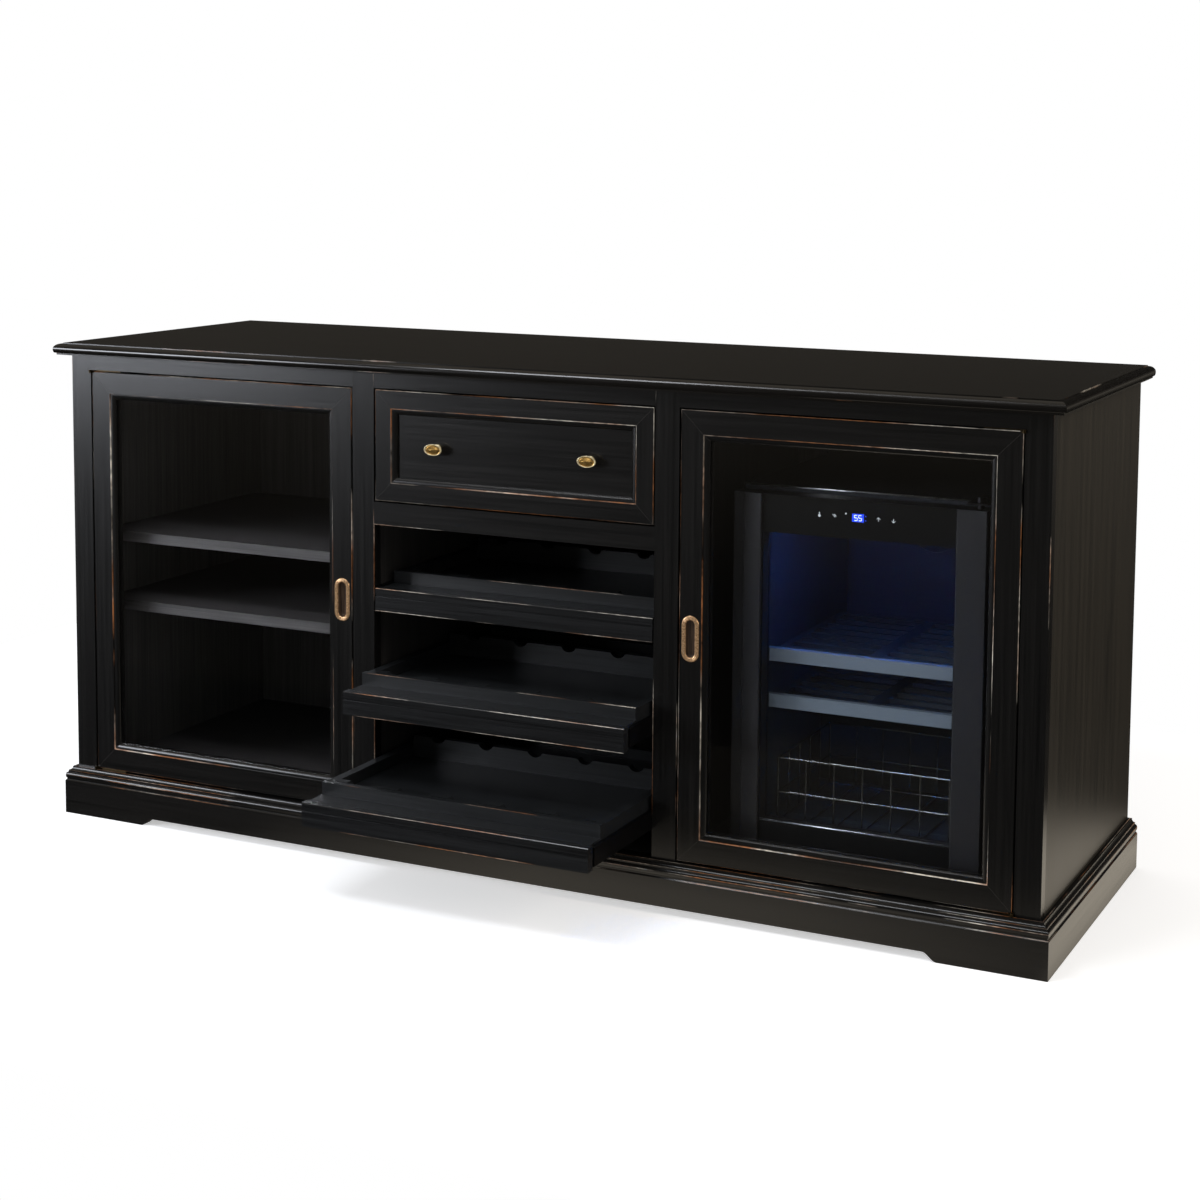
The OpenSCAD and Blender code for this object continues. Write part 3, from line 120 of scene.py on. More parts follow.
def surface(name, grids, material, closed=False):
    """One smooth mesh over several (rows, columns, 3) arrays of points in metres, with a face to
    each cell. A closed grid's rows join their last point to their first."""
    points, faces = [], []
    for grid in grids:
        rows, columns = grid.shape[:2]
        number = len(points) + np.arange(rows * columns).reshape(rows, columns)
        if closed:
            number = np.hstack([number, number[:, :1]])
        cells = np.stack([number[:-1, :-1], number[:-1, 1:], number[1:, 1:], number[1:, :-1]], -1)
        faces += cells.reshape(-1, 4).tolist()
        points += grid.reshape(-1, 3).tolist()
    mesh = bpy.data.meshes.new(name)
    mesh.from_pydata(points, [], faces)
    mesh.polygons.foreach_set("use_smooth", [True] * len(mesh.polygons))
    mesh.materials.append(material)
    made = bpy.data.objects.new(name, mesh)
    bpy.context.scene.collection.objects.link(made)
    return made


# Distances are in metres. The mirrored pool fades from pool_start to pool_end away from the base,
# and pool_along gives its share at each X. A ray's depth is a whole number, so half a bounce parts
# the rays that have bounced from those that haven't.
floor_reach = (2.0, 1.25)
floor_drop = 0.2 * MM
floor_white = "#f4f4f4"
floor_glow = 0.48
pool_bright, pool_dim = 0.95, 0.03
pool_start, pool_end = 0.08, 0.4
pool_along = [(-0.95, 0.05), (-0.6, 0.1), (0.0, 1.0), (0.45, 0.85), (0.92, 0.35), (0.97, 1.0)]
mirror_tint = "#fff3df"
half_bounce = 0.5

base_low, base_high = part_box("plinth_boards")
base_half = (base_high[0], -base_low[1], 0)
paper, tree = new_material("white_paper")
place = add(tree, "TexCoord", out="Object")
outside = add(tree, "VectorMath", {"operation": "ABSOLUTE"}, {0: place})
outside = add(tree, "VectorMath", {"operation": "SUBTRACT"}, {0: outside, 1: base_half})
outside = add(tree, "VectorMath", {"operation": "MAXIMUM"}, {0: outside, 1: (0, 0, 0)})
away = add(tree, "VectorMath", {"operation": "LENGTH"}, {0: outside}, out="Value")
pool = add(tree, "MapRange", {"interpolation_type": "SMOOTHSTEP"},
           {"Value": away, "From Min": pool_start, "From Max": pool_end, "To Min": pool_bright,
            "To Max": pool_dim})
aside = add(tree, "SeparateXYZ", inputs={0: place}, out="X")
aside = add(tree, "MapRange", inputs={"Value": aside, "From Min": -1.0, "From Max": 1.0})
ramp = add(tree, "ValToRGB", inputs={0: aside})
stops = ramp.node.color_ramp.elements
stops.remove(stops[1])
for x, share in pool_along:
    stops.new((x + 1) / 2).color = (share, share, share, 1)
stops.remove(stops[0])
pool = add(tree, "Math", {"operation": "MULTIPLY"}, {0: pool, 1: ramp})
ray = add(tree, "LightPath").node.outputs
mirrored = add(tree, "Math", {"operation": "GREATER_THAN"}, {0: ray["Glossy Depth"], 1: half_bounce})
seen = add(tree, "Math", {"operation": "MAXIMUM"},
           {0: ray["Is Camera Ray"], 1: ray["Is Transmission Ray"]})
glow = add(tree, "Math", {"operation": "MULTIPLY"}, {0: seen, 1: floor_glow})
lit = add(tree, "BsdfDiffuse", inputs={"Color": colour(floor_white)})
plain = add(tree, "Emission", inputs={"Color": colour("#ffffff"), "Strength": glow})
bright = add(tree, "AddShader", inputs={0: lit, 1: plain})
image = add(tree, "Emission", inputs={"Color": colour(mirror_tint), "Strength": pool})
show(tree, add(tree, "MixShader", inputs={0: mirrored, 1: bright, 2: image}))
grid_x, grid_y = np.meshgrid([-floor_reach[0], floor_reach[0]], [-floor_reach[1], floor_reach[1]])
surface("floor", [np.stack([grid_x, grid_y, np.full_like(grid_x, -floor_drop)], -1)], paper)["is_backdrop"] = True

# The mirrored room has a ceiling and two bands at its horizon. Each starts and ends at a slope or
# side of the ray, from -1 to 1, and the band below the horizon weakens towards the left.
room_light = 0.5
mirror_low, mirror_high = 0.01, 0.4
mirror_above, mirror_below = 0.05, 0.12
ceiling_start, ceiling_end = 0.3, 0.95
above_start, above_end = 0.06, 0.14
below_start, below_end = -0.22, -0.05
left_start, left_end, left_share = -0.64, -0.5, 0.25

world = bpy.data.worlds.new("surround")
world.use_nodes = True
tree = world.node_tree
tree.nodes.clear()
heading = add(tree, "SeparateXYZ", inputs={0: add(tree, "TexCoord", out="Generated")}).node.outputs
height = heading["Z"]
dim = add(tree, "MapRange", {"interpolation_type": "SMOOTHSTEP"},
          {"Value": height, "From Min": ceiling_start, "From Max": ceiling_end, "To Min": mirror_low,
           "To Max": mirror_high})
above = add(tree, "MapRange", {"interpolation_type": "SMOOTHSTEP"},
            {"Value": height, "From Min": above_start, "From Max": above_end, "To Min": mirror_above,
             "To Max": 0.0})
strength = add(tree, "MapRange", inputs={"Value": heading["X"], "From Min": left_start,
                                         "From Max": left_end, "To Min": left_share * mirror_below,
                                         "To Max": mirror_below})
below = add(tree, "MapRange", {"interpolation_type": "SMOOTHSTEP"},
            {"Value": height, "From Min": below_start, "From Max": below_end, "To Min": 0.0,
             "To Max": strength})
downward = add(tree, "Math", {"operation": "LESS_THAN"}, {0: height, 1: 0.0})
band = add(tree, "Mix", {"data_type": "FLOAT"}, {0: downward, 2: above, 3: below})
dim = add(tree, "Math", {"operation": "ADD"}, {0: dim, 1: band})
ray = add(tree, "LightPath").node.outputs
mirrored = add(tree, "Math", {"operation": "GREATER_THAN"}, {0: ray["Glossy Depth"], 1: half_bounce})
scattered = add(tree, "Math", {"operation": "GREATER_THAN"}, {0: ray["Diffuse Depth"], 1: half_bounce})
level = add(tree, "Mix", {"data_type": "FLOAT"}, {0: scattered, 2: 1.0, 3: room_light})
level = add(tree, "Mix", {"data_type": "FLOAT"}, {0: mirrored, 2: level, 3: dim})
tint = add(tree, "Mix", {"data_type": "RGBA"},
           {0: mirrored, 6: colour("#ffffff"), 7: colour(mirror_tint)}, out=2)
sky = add(tree, "Background", inputs={"Color": tint, "Strength": level})
world_output = tree.nodes.new("ShaderNodeOutputWorld")
tree.links.new(sky, world_output.inputs["Surface"])
bpy.context.scene.world = world


def softbox(name, place, aim, size, watts, tint):
    """A rectangular lamp at a place, turned to face another place."""
    data = bpy.data.lights.new(name, "AREA")
    data.shape = "RECTANGLE"
    data.size, data.size_y = size
    data.energy = watts
    data.color = colour(tint)[:3]
    lamp = bpy.data.objects.new(name, data)
    lamp.location = place
    lamp.rotation_mode = "QUATERNION"
    lamp.rotation_quaternion = (Vector(place) - Vector(aim)).to_track_quat("Z", "Y")
    bpy.context.scene.collection.objects.link(lamp)


# Lamps: a strip overhead, a large cool one at the left front, and a warm one for the right end.
softbox("overhead_lamp", (-0.6, -1.7, 2.9), (0, 0, 0.6), (1.7, 0.4), 31, "#f4f8ff")
softbox("left_lamp", (-3.15, -3.0, 1.22), (-0.4, 0, 0.8), (1.6, 1.1), 84, "#f2f6ff")
softbox("side_lamp", (3.3, -0.7, 1.9), (0.9, -0.2, 0.5), (1.0, 1.4), 27, "#fff3e4")


# Stained wood: alder, wiped with black-brown stain and sealed with satin lacquer. Fibres show as
# fine streaks along each board, a little coarser than alder's own so that they show, and sanding
# has cut through to tan wood along the arrises. Those bare lines run from orange tan to near white,
# and the near white is a painted highlight, like the one lamps put on worn arrises.
fibre_length, fibre_width = 180 * MM, 2.2 * MM
figure_length, figure_width = 700 * MM, 10 * MM
fibre_share, fibre_relief = 0.6, 0.2 * MM
grain_low, grain_high = 0.36, 0.66
gloss_down, gloss_up = 0.01, 0.04
mitre_gap, gap_stain = 0.45 * MM, "#2b2826"
# Paler colours for faces inside the cabinet: painted light that stands in for the light in the bays.
inside_lit_dark, inside_lit_pale = "#343332", "#5b5957"
rub_reach = 0.9 * MM
rub_run, rub_crumb = 160 * MM, 9 * MM
run_low, run_high, run_gain = 0.66, 0.84, 0.4
crumb_low, crumb_high, crumb_left = 0.35, 0.6, 0.35
tan_run = rub_run / 1.3
tan_low, tan_high = 0.43, 0.6
# Bare lines run from orange tan to near white. The near white is a painted highlight on the arrises.
tan_dark, tan_pale_and_highlight, tan_dull = "#b0703f", "#efe6d6", 0.45


def streaks(tree, place, along, across, on_side, length, width):
    """Noise drawn out along a board's axis, or along the other one where on_side is 1: its place is
    divided by the length along that axis, and by the width along the others."""
    scale = [tuple(1 / (length if axis == way else width) for axis in "XYZ") for way in (along, across)]
    if on_side is None:
        scale = scale[0]
    else:
        scale = add(tree, "Mix", {"data_type": "VECTOR"}, {0: on_side, 4: scale[0], 5: scale[1]}, out=1)
    drawn = add(tree, "VectorMath", {"operation": "MULTIPLY"}, {0: place, 1: scale})
    return add(tree, "TexNoise", inputs={"Vector": drawn, "Scale": 1.0, "Detail": 3.0, "Roughness": 0.6})


def rubbed(tree, place, nearest, rub):
    """How bare the wood is, from its distance to the nearest rubbed line: 1 on the line, fading
    over rub_reach, times long runs of noise that rub lengthens, times small crumbs of stain."""
    runs = add(tree, "TexNoise", inputs={"Vector": place, "Scale": 1 / rub_run, "Detail": 2.0})
    depth = add(tree, "MapRange", inputs={"Value": runs, "From Min": run_low - run_gain * rub,
                                          "From Max": run_high - run_gain * rub})
    crumbs = add(tree, "TexNoise", inputs={"Vector": place, "Scale": 1 / rub_crumb, "Detail": 2.0})
    kept = add(tree, "MapRange", inputs={"Value": crumbs, "From Min": crumb_low, "From Max": crumb_high,
                                         "To Min": crumb_left})
    bare = add(tree, "MapRange", inputs={"Value": nearest, "From Min": 0.5 * rub_reach,
                                         "From Max": rub_reach, "To Min": 1.0, "To Max": 0.0})
    bare = add(tree, "Math", {"operation": "MULTIPLY"}, {0: bare, 1: depth})
    return add(tree, "Math", {"operation": "MULTIPLY"}, {0: bare, 1: kept})


def stained_wood(name, along, dark="#060606", pale="#121110", dull=0.23, across=None, plane="XZ",
                 low=None, high=None, edges=(), front=None, rub=0.5, painted_lit_within=None):
    """Stain and lacquer over fibres that run along an axis. low and high are a frame's corners, in
    the plane named: members beside its middle run across instead. The wood is rubbed at edges,
    each a (distance out from that frame, height) or None for either, as far back as front, and the
    bare wood there runs to near white, a painted highlight. Faces nearer the cabinet's middle than
    the given X distance have paler inside colours: painted light that stands in for light in the bays."""
    made, tree = new_material(name)
    place = add(tree, "TexCoord", out="Object")
    axis = add(tree, "SeparateXYZ", inputs={0: place}).node.outputs
    outline = on_side = None
    if low:
        reach = []
        for letter in plane:
            i = "XYZ".index(letter)
            middle, half = (low[i] + high[i]) / 2, (high[i] - low[i]) / 2
            offset = add(tree, "Math", {"operation": "SUBTRACT"}, {0: axis[i], 1: middle})
            offset = add(tree, "Math", {"operation": "ABSOLUTE"}, {0: offset})
            reach.append(add(tree, "Math", {"operation": "SUBTRACT"}, {0: offset, 1: half}))
        outline = add(tree, "Math", {"operation": "MAXIMUM"}, {0: reach[0], 1: reach[1]})
        if across:
            on_side = add(tree, "Math", {"operation": "GREATER_THAN"}, {0: reach[0], 1: reach[1]})
    fibres = streaks(tree, place, along, across, on_side, fibre_length, fibre_width)
    figure = streaks(tree, place, along, across, on_side, figure_length, figure_width)
    mixed = add(tree, "Mix", {"data_type": "FLOAT"}, {0: fibre_share, 2: figure, 3: fibres})
    share = add(tree, "MapRange", inputs={"Value": mixed, "From Min": grain_low, "From Max": grain_high})
    wood = add(tree, "Mix", {"data_type": "RGBA"}, {0: share, 6: colour(dark), 7: colour(pale)}, out=2)
    gloss = add(tree, "MapRange", inputs={"Value": mixed, "From Min": grain_low, "From Max": grain_high,
                                          "To Min": dull - gloss_down, "To Max": dull + gloss_up})
    if on_side:
        gap = add(tree, "Math", {"operation": "COMPARE"}, {0: reach[0], 1: reach[1], 2: mitre_gap})
        wood = add(tree, "Mix", {"data_type": "RGBA"}, {0: gap, 6: wood, 7: colour(gap_stain)}, out=2)
    nearest = None
    for edge in edges:
        offset = tree.nodes.new("ShaderNodeCombineXYZ")
        for i, (source, where) in enumerate(zip((outline, axis["Z"]), edge)):
            if where is not None:
                part = add(tree, "Math", {"operation": "SUBTRACT"}, {0: source, 1: where})
                tree.links.new(part, offset.inputs[i])
        reach = add(tree, "VectorMath", {"operation": "LENGTH"}, {0: offset.outputs[0]}, out="Value")
        nearest = add(tree, "Math", {"operation": "MINIMUM"}, {0: nearest or 1.0, 1: reach})
    if nearest:
        bare = rubbed(tree, place, nearest, rub)
        if front is not None:
            shallow = add(tree, "Math", {"operation": "LESS_THAN"}, {0: axis["Y"], 1: front})
            bare = add(tree, "Math", {"operation": "MULTIPLY"}, {0: bare, 1: shallow})
        # The bare lines' near-white tones are a painted highlight. Their orange tones are bare wood.
        tones = add(tree, "TexNoise", inputs={"Vector": place, "Scale": 1 / tan_run, "Detail": 2.0})
        tone = add(tree, "MapRange", inputs={"Value": tones, "From Min": tan_low, "From Max": tan_high})
        tan = add(tree, "Mix", {"data_type": "RGBA"},
                  {0: tone, 6: colour(tan_dark), 7: colour(tan_pale_and_highlight)}, out=2)
        wood = add(tree, "Mix", {"data_type": "RGBA"}, {0: bare, 6: wood, 7: tan}, out=2)
        gloss = add(tree, "Mix", {"data_type": "FLOAT"}, {0: bare, 2: gloss, 3: tan_dull})
    # Paler inside colours: painted light in the bays.
    if painted_lit_within:
        offset = add(tree, "Math", {"operation": "ABSOLUTE"}, {0: axis["X"]})
        within = add(tree, "Math", {"operation": "LESS_THAN"}, {0: offset, 1: painted_lit_within})
        inside = add(tree, "Mix", {"data_type": "RGBA"},
                     {0: share, 6: colour(inside_lit_dark), 7: colour(inside_lit_pale)}, out=2)
        wood = add(tree, "Mix", {"data_type": "RGBA"}, {0: within, 6: wood, 7: inside}, out=2)
    relief = add(tree, "Bump", inputs={"Strength": 0.3, "Distance": fibre_relief, "Height": fibres})
    show(tree, add(tree, "BsdfPrincipled", inputs={"Base Color": wood, "Roughness": gloss,
                                                   "Normal": relief}))
    return made


def dress(material, *names):
    """Gives CAD nodes a material in every slot that they have."""
    for name in names:
        for slot in nodes[name].material_slots:
            slot.material = material


# Face frame and ends. The stiles are rubbed at the cabinet's corners and beside the racks, the
# drawer rail along its lower edge, and the ends show more of their brown grain in the side light.
arris_back = 2.5 * MM
front_gap = 2.5 * MM
below_drawer = 43 * MM
ends_skin = 10 * MM
far = 9.0
stile_low, stile_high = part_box("face_frame_stiles")
drawer_low, drawer_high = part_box("drawer_front")
face_y = stile_low[1]
rack_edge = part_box("rack_top_front")[1][0] + front_gap - stile_high[0]
door_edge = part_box("right_door_frame")[0][0] - front_gap - stile_high[0]
drawer_rail_low = drawer_low[2] - below_drawer

dress(stained_wood("stained_stiles", "Z", low=(stile_low[0], 0, -far), high=(stile_high[0], 0, far),
                   edges=[(0, None), (rack_edge, None), (door_edge, None)], front=face_y + arris_back,
                   rub=0.28), "face_frame_stiles")
dress(stained_wood("stained_rails", "X", edges=[(None, drawer_rail_low)], front=face_y + arris_back,
                   rub=0.45), "face_frame_rails")
# The ends' faces inside the cabinet get the paler inside colours: painted light that stands in for light in the
# bays.
dress(stained_wood("stained_ends", "Z", dark="#151411", pale="#38332b", dull=0.36,
                   painted_lit_within=stile_high[0] - ends_skin), "side_panels")

# Top board: glued up, and milled on its front and ends to a rounding with a small step above it.
# The step and the lower arris are rubbed here and there.
step_in, lower_arris = 14 * MM, 3 * MM
top_low, top_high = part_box("top_panel")
dress(stained_wood("stained_top", "X", dark="#070605", pale="#13110f", dull=0.17, plane="XY",
                   low=(top_low[0], top_low[1], 0), high=(top_high[0], far, 0),
                   edges=[(-step_in, None), (None, top_low[2] + lower_arris)], rub=0.2), "top_panel")

# Base: plinth boards under a milled moulding, mitred at the front corners. Sanding has rubbed the
# moulding's arrises in long runs, and the plinth's top edge in short ones.
arris_in = 1 * MM
deck_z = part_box("base_moulding")[1][2]
arrises = [(-13.3 * MM, deck_z), (-4.5 * MM, deck_z - 6.6 * MM), (-0.5 * MM, deck_z - 14.6 * MM)]
base_frame = {"across": "Y", "plane": "XY", "low": (base_low[0], base_low[1], 0),
              "high": (base_high[0], far, 0)}
dress(stained_wood("stained_moulding", "X", edges=arrises, rub=0.57, **base_frame), "base_moulding")
dress(stained_wood("stained_plinth", "X", edges=[(-arris_in, base_high[2] - arris_in)], rub=0.5,
                   **base_frame), "plinth_boards")

# Inside wood: partitions, backs, floor, shelves and the rails under the top. They have the same
# stain, flatter and duller than the front, and no rubbed edges. Their colours are much paler than
# the front's: painted light that stands in for the light inside the bays.
inside_dull = 0.5
dress(stained_wood("stained_uprights", "Z", dark="#1c1b1a", pale="#3c3a38", dull=inside_dull),
      "partitions", "back_rails", "centre_foot")
dress(stained_wood("stained_backs", "Z", dark="#343333", pale="#545251", dull=inside_dull),
      "back_panels", "vented_back_panel")
dress(stained_wood("stained_shelves", "X", dark="#1f1e1e", pale="#434141", dull=inside_dull),
      "floor_panel", "bay_shelves")
dress(stained_wood("stained_stemware_rack", "Y", dark="#141313", pale="#302e2c", dull=inside_dull),
      "stemware_rack")


# Metal fittings: pivot leaves of dark brass, zinc-plated pins and blackened steel slides, pressed
# and plated to a satin sheen. Specks, or brush marks drawn out from them, vary the sheen, and are
# spaced wider than real ones, at 1 to 5 mm, so that they show.
speck_low, speck_high = 0.3, 0.7
tone_low, tone_high = 0.35, 0.65
speck_relief = 0.1 * MM
brush_draw = 0.04
metal_spread = 0.25


def metal(name, low, high, dull, brushed=None, marks=400.0, strength=0.1, bare=1.0):
    """Metal between two tones, under a matt lacquer where bare is below 1. brushed names the axis
    that its marks are drawn out along, and marks is how many there are to a metre."""
    made, tree = new_material(name)
    place = add(tree, "TexCoord", out="Object")
    if brushed:
        stretch = tuple(brush_draw if axis == brushed else 1.0 for axis in "XYZ")
        place = add(tree, "VectorMath", {"operation": "MULTIPLY"}, {0: place, 1: stretch})
    speckle = add(tree, "TexNoise", inputs={"Vector": place, "Scale": marks, "Detail": 4.0})
    gloss = add(tree, "MapRange", inputs={"Value": speckle, "From Min": speck_low,
                                          "From Max": speck_high, "To Min": dull * (1 - metal_spread),
                                          "To Max": dull * (1 + metal_spread)})
    tone = add(tree, "MapRange", inputs={"Value": speckle, "From Min": tone_low, "From Max": tone_high})
    shade = add(tree, "Mix", {"data_type": "RGBA"}, {0: tone, 6: colour(low), 7: colour(high)}, out=2)
    relief = add(tree, "Bump", inputs={"Strength": strength, "Distance": speck_relief,
                                       "Height": speckle})
    show(tree, add(tree, "BsdfPrincipled", inputs={"Base Color": shade, "Metallic": bare,
                                                   "Roughness": gloss, "Normal": relief}))
    return made


dark_brass = metal("dark_brass", "#2c2519", "#4b3f2b", 0.42)
zinc = metal("zinc_plate", "#84878b", "#b7babd", 0.4)
dark_steel = metal("blackened_steel", "#1d1d1f", "#37373a", 0.4)
dress(dark_brass, "door_pivot_brackets", "left_door_fittings", "right_door_fittings")
dress(zinc, "shelf_pins")
dress(dark_steel, "slide_tracks", "drawer_rails", "rack_top_rails", "rack_middle_rails",
      "rack_bottom_rails", "cooler_hinges")


# Door catches: magnets in cases of moulded black nylon, screwed to the partitions. Nylon and the
# other mouldings and paints have an even sheen, with a fine grain in it that is spaced at about
# 1 mm so that it shows.
paint_spread = 0.15


def moulded(name, code, dull, grain=900.0, strength=0.1):
    """Moulded or painted surface of one colour, with grain specks to a metre."""
    made, tree = new_material(name)
    place = add(tree, "TexCoord", out="Object")
    specks = add(tree, "TexNoise", inputs={"Vector": place, "Scale": grain, "Detail": 3.0})
    gloss = add(tree, "MapRange", inputs={"Value": specks, "From Min": speck_low,
                                          "From Max": speck_high, "To Min": dull * (1 - paint_spread),
                                          "To Max": dull * (1 + paint_spread)})
    relief = add(tree, "Bump", inputs={"Strength": strength, "Distance": speck_relief, "Height": specks})
    show(tree, add(tree, "BsdfPrincipled", inputs={"Base Color": colour(code), "Roughness": gloss,
                                                   "Normal": relief}))
    return made


dress(moulded("black_nylon", "#101011", 0.5), "door_catches")


# Screws: rolled steel or brass with pan heads and a cross recess, driven wherever panels, plates
# and catches are fixed. Their sizes are shares of a head's radius.
head_rise = 0.5
cross_half, cross_reach, cross_deep = 0.16, 0.6, 0.4


def screws(name, places, facing, radius, body, material):
    """Screw heads at (x, y, z) places, all facing one way. Over the disc (u, v) of radius 1 a head
    rises head_rise * sqrt(1 - u² - v²), less a recess where |u| or |v| is small, out to cross_reach."""
    ring, angle = np.meshgrid([1, 0.97, 0.85, 0.7, 0.61, cross_reach, 0.4, 0.18, 0.17, 0.0],
                              np.linspace(0, 2 * np.pi, 40, endpoint=False), indexing="ij")
    u, v = ring * np.cos(angle), ring * np.sin(angle)
    recess = (np.minimum(abs(u), abs(v)) < cross_half) & (ring <= cross_reach)
    rise = head_rise * np.sqrt(np.clip(1 - ring ** 2, 0, 1)) - cross_deep * recess
    out = np.array(facing, float)
    side = np.array((0, 0, 1.0)) if abs(out[2]) < 0.5 else np.array((1.0, 0, 0))
    head = radius * (u[..., None] * side + v[..., None] * np.cross(out, side) + rise[..., None] * out)
    made = surface(name, [head + np.array(place) for place in places], material, closed=True)
    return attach(made, body)


panel_screw, panel_inset, panel_columns, panel_rows = 3.5 * MM, 9 * MM, 5, 6
catch_screw, catch_inset = 2.6 * MM, 6 * MM
back_low, back_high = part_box("back_panels")
vented_low, vented_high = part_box("vented_back_panel")
seams = [back_low[0], -vented_low[0], vented_low[0], vented_high[0]]
spots = []
for left, right in zip(seams[:-1], seams[1:]):
    columns = np.linspace(left + panel_inset, right - panel_inset, panel_columns)
    rows = np.linspace(back_low[2] + panel_inset, back_high[2] - panel_inset, panel_rows)
    spots += [(x, back_high[1], z) for x in columns for z in rows
              if x in (columns[0], columns[-1]) or z in (rows[0], rows[-1])]
screws("back_screws", spots, (0, 1, 0), panel_screw, "cabinet", dark_steel)

catch_low, catch_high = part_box("door_catches")
catch_z = (catch_low[2] + catch_high[2]) / 2
for side, sign in (("left", -1), ("right", 1)):
    spots = [(sign * catch_high[0], y, catch_z)
             for y in (catch_low[1] + catch_inset, catch_high[1] - catch_inset)]
    screws(side + "_catch_screws", spots, (sign, 0, 0), catch_screw, "cabinet", zinc)


# Doors: mitred members with a moulding milled inside the sight edge. The outer arris and the sight
# edge are rubbed in long thin lines. The panes are float glass, polished and all but colourless.
def clear_glass(name, tint):
    """Polished glass, which lamps and soft light pass straight, so that it casts no hard shadow."""
    made, tree = new_material(name)
    ray = add(tree, "LightPath").node.outputs
    passing = add(tree, "Math", {"operation": "MAXIMUM"},
                  {0: ray["Is Shadow Ray"], 1: ray["Is Diffuse Ray"]})
    glass = add(tree, "BsdfPrincipled", inputs={"Base Color": colour(tint), "Roughness": 0.0, "IOR": 1.5,
                                                "Transmission Weight": 1.0})
    clear = add(tree, "BsdfTransparent", inputs={"Color": colour(tint)})
    show(tree, add(tree, "MixShader", inputs={0: passing, 1: glass, 2: clear}))
    return made


door_face = 40 * MM
dress(clear_glass("door_glass", "#fdfdfd"), "left_door_glass", "right_door_glass")
for side in ("left", "right"):
    low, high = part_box(side + "_door_frame")
    dress(stained_wood("stained_%s_door" % side, "X", across="Z", low=tuple(low), high=tuple(high),
                       edges=[(0, None), (-door_face, None)], front=face_y + arris_back, rub=0.64),
          side + "_door_frame")

# Flush pulls: a slot-shaped ring of aged brass with a bead round each edge, and a cup behind it
# that stays darker than the ring where hands polish it.
ring_face, ring_proud, ring_rows = 7.5 * MM, 2 * MM, 20
groove_share, groove_width = 0.35, 0.09
cup_deep, cup_fillet = 9.5 * MM, 3 * MM
bend_points, arc_points = 7, 24
aged_brass = metal("aged_brass", "#b98c63", "#e6c094", 0.27, marks=900.0, strength=0.04, bare=0.7)
cup_patina = metal("cup_patina", "#3f3128", "#66513f", 0.5, brushed="Z", bare=0.25)


def pull_grid(low, high):
    """A ring and cup swept round a slot. Across the ring, q from 0 to 1, the face rises as
    sqrt(1 - (2q - 1)²), less a groove at its middle; the cup's wall then turns in to a flat floor."""
    half_w, half_h = (high[0] - low[0]) / 2, (high[2] - low[2]) / 2
    opening = half_w - ring_face
    q = np.linspace(0, 1, ring_rows + 1)
    groove = groove_share * np.exp(-(((q - 0.5) / groove_width) ** 2))
    crest = ring_proud * (np.sqrt(1 - (2 * q - 1) ** 2) - groove)
    bend = np.linspace(0, np.pi / 2, bend_points)
    reach = np.concatenate([half_w - ring_face * q, opening - cup_fillet * (1 - np.cos(bend)), [0]])
    depth = np.concatenate([crest, cup_fillet - cup_deep - cup_fillet * np.sin(bend), [-cup_deep]])
    arc = np.linspace(0, np.pi, arc_points)
    angle = np.concatenate([arc, np.pi + arc])
    shift = np.repeat([1, -1], arc_points) * (half_h - half_w)
    x = (low[0] + high[0]) / 2 + reach[:, None] * np.cos(angle)
    z = (low[2] + high[2]) / 2 + reach[:, None] * np.sin(angle) + shift
    y = face_y - depth[:, None] + 0 * angle
    return np.stack([x, y, z], -1)


for side in ("left", "right"):
    grid = pull_grid(*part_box(side + "_door_pull"))
    pull = surface(side + "_flush_pull", [grid], aged_brass, closed=True)
    pull.data.materials.append(cup_patina)
    for face in list(pull.data.polygons)[ring_rows * grid.shape[1]:]:
        face.material_index = 1
    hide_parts(side + "_door_pull")
    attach(pull, side + "_door")

# Door screws: two of brass in each pivot leaf, on the door's top and bottom edges, and one with
# zinc plate in each strike plate.
leaf_screw_x = (867 * MM, 831 * MM)
leaf_screw_y = -272 * MM
strike_inset = 8 * MM
door_screw = 2.4 * MM
strike_low, strike_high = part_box("right_door_fittings")
for side, sign in (("left", -1), ("right", 1)):
    low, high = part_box(side + "_door_frame")
    for edge, way in ((low[2], -1), (high[2], 1)):
        name = "%s_door_%s_screws" % (side, "top" if way > 0 else "bottom")
        screws(name, [(sign * x, leaf_screw_y, edge) for x in leaf_screw_x], (0, 0, way), door_screw,
               side + "_door", dark_brass)
    spot = (sign * (strike_low[0] + strike_inset), strike_high[1], catch_z)
    screws(side + "_strike_screw", [spot], (0, 1, 0), door_screw, side + "_door", zinc)

# Drawer: a mitred front round a sunk panel, stained as the doors are, with a clear-lacquered maple
# box behind it whose bottom runs from front to back.
drawer_face = 32 * MM
maple = {"dark": "#9a7a55", "pale": "#c9aa80", "dull": 0.45}
dress(stained_wood("stained_drawer_front", "X", across="Z", low=tuple(drawer_low),
                   high=tuple(drawer_high), edges=[(0, None), (-drawer_face, None)],
                   front=face_y + arris_back, rub=0.72), "drawer_front")
dress(stained_wood("stained_drawer_panel", "X"), "drawer_panel")
dress(stained_wood("maple_box", "X", **maple), "drawer_box")
dress(stained_wood("maple_bottom", "Y", **maple), "drawer_bottom")

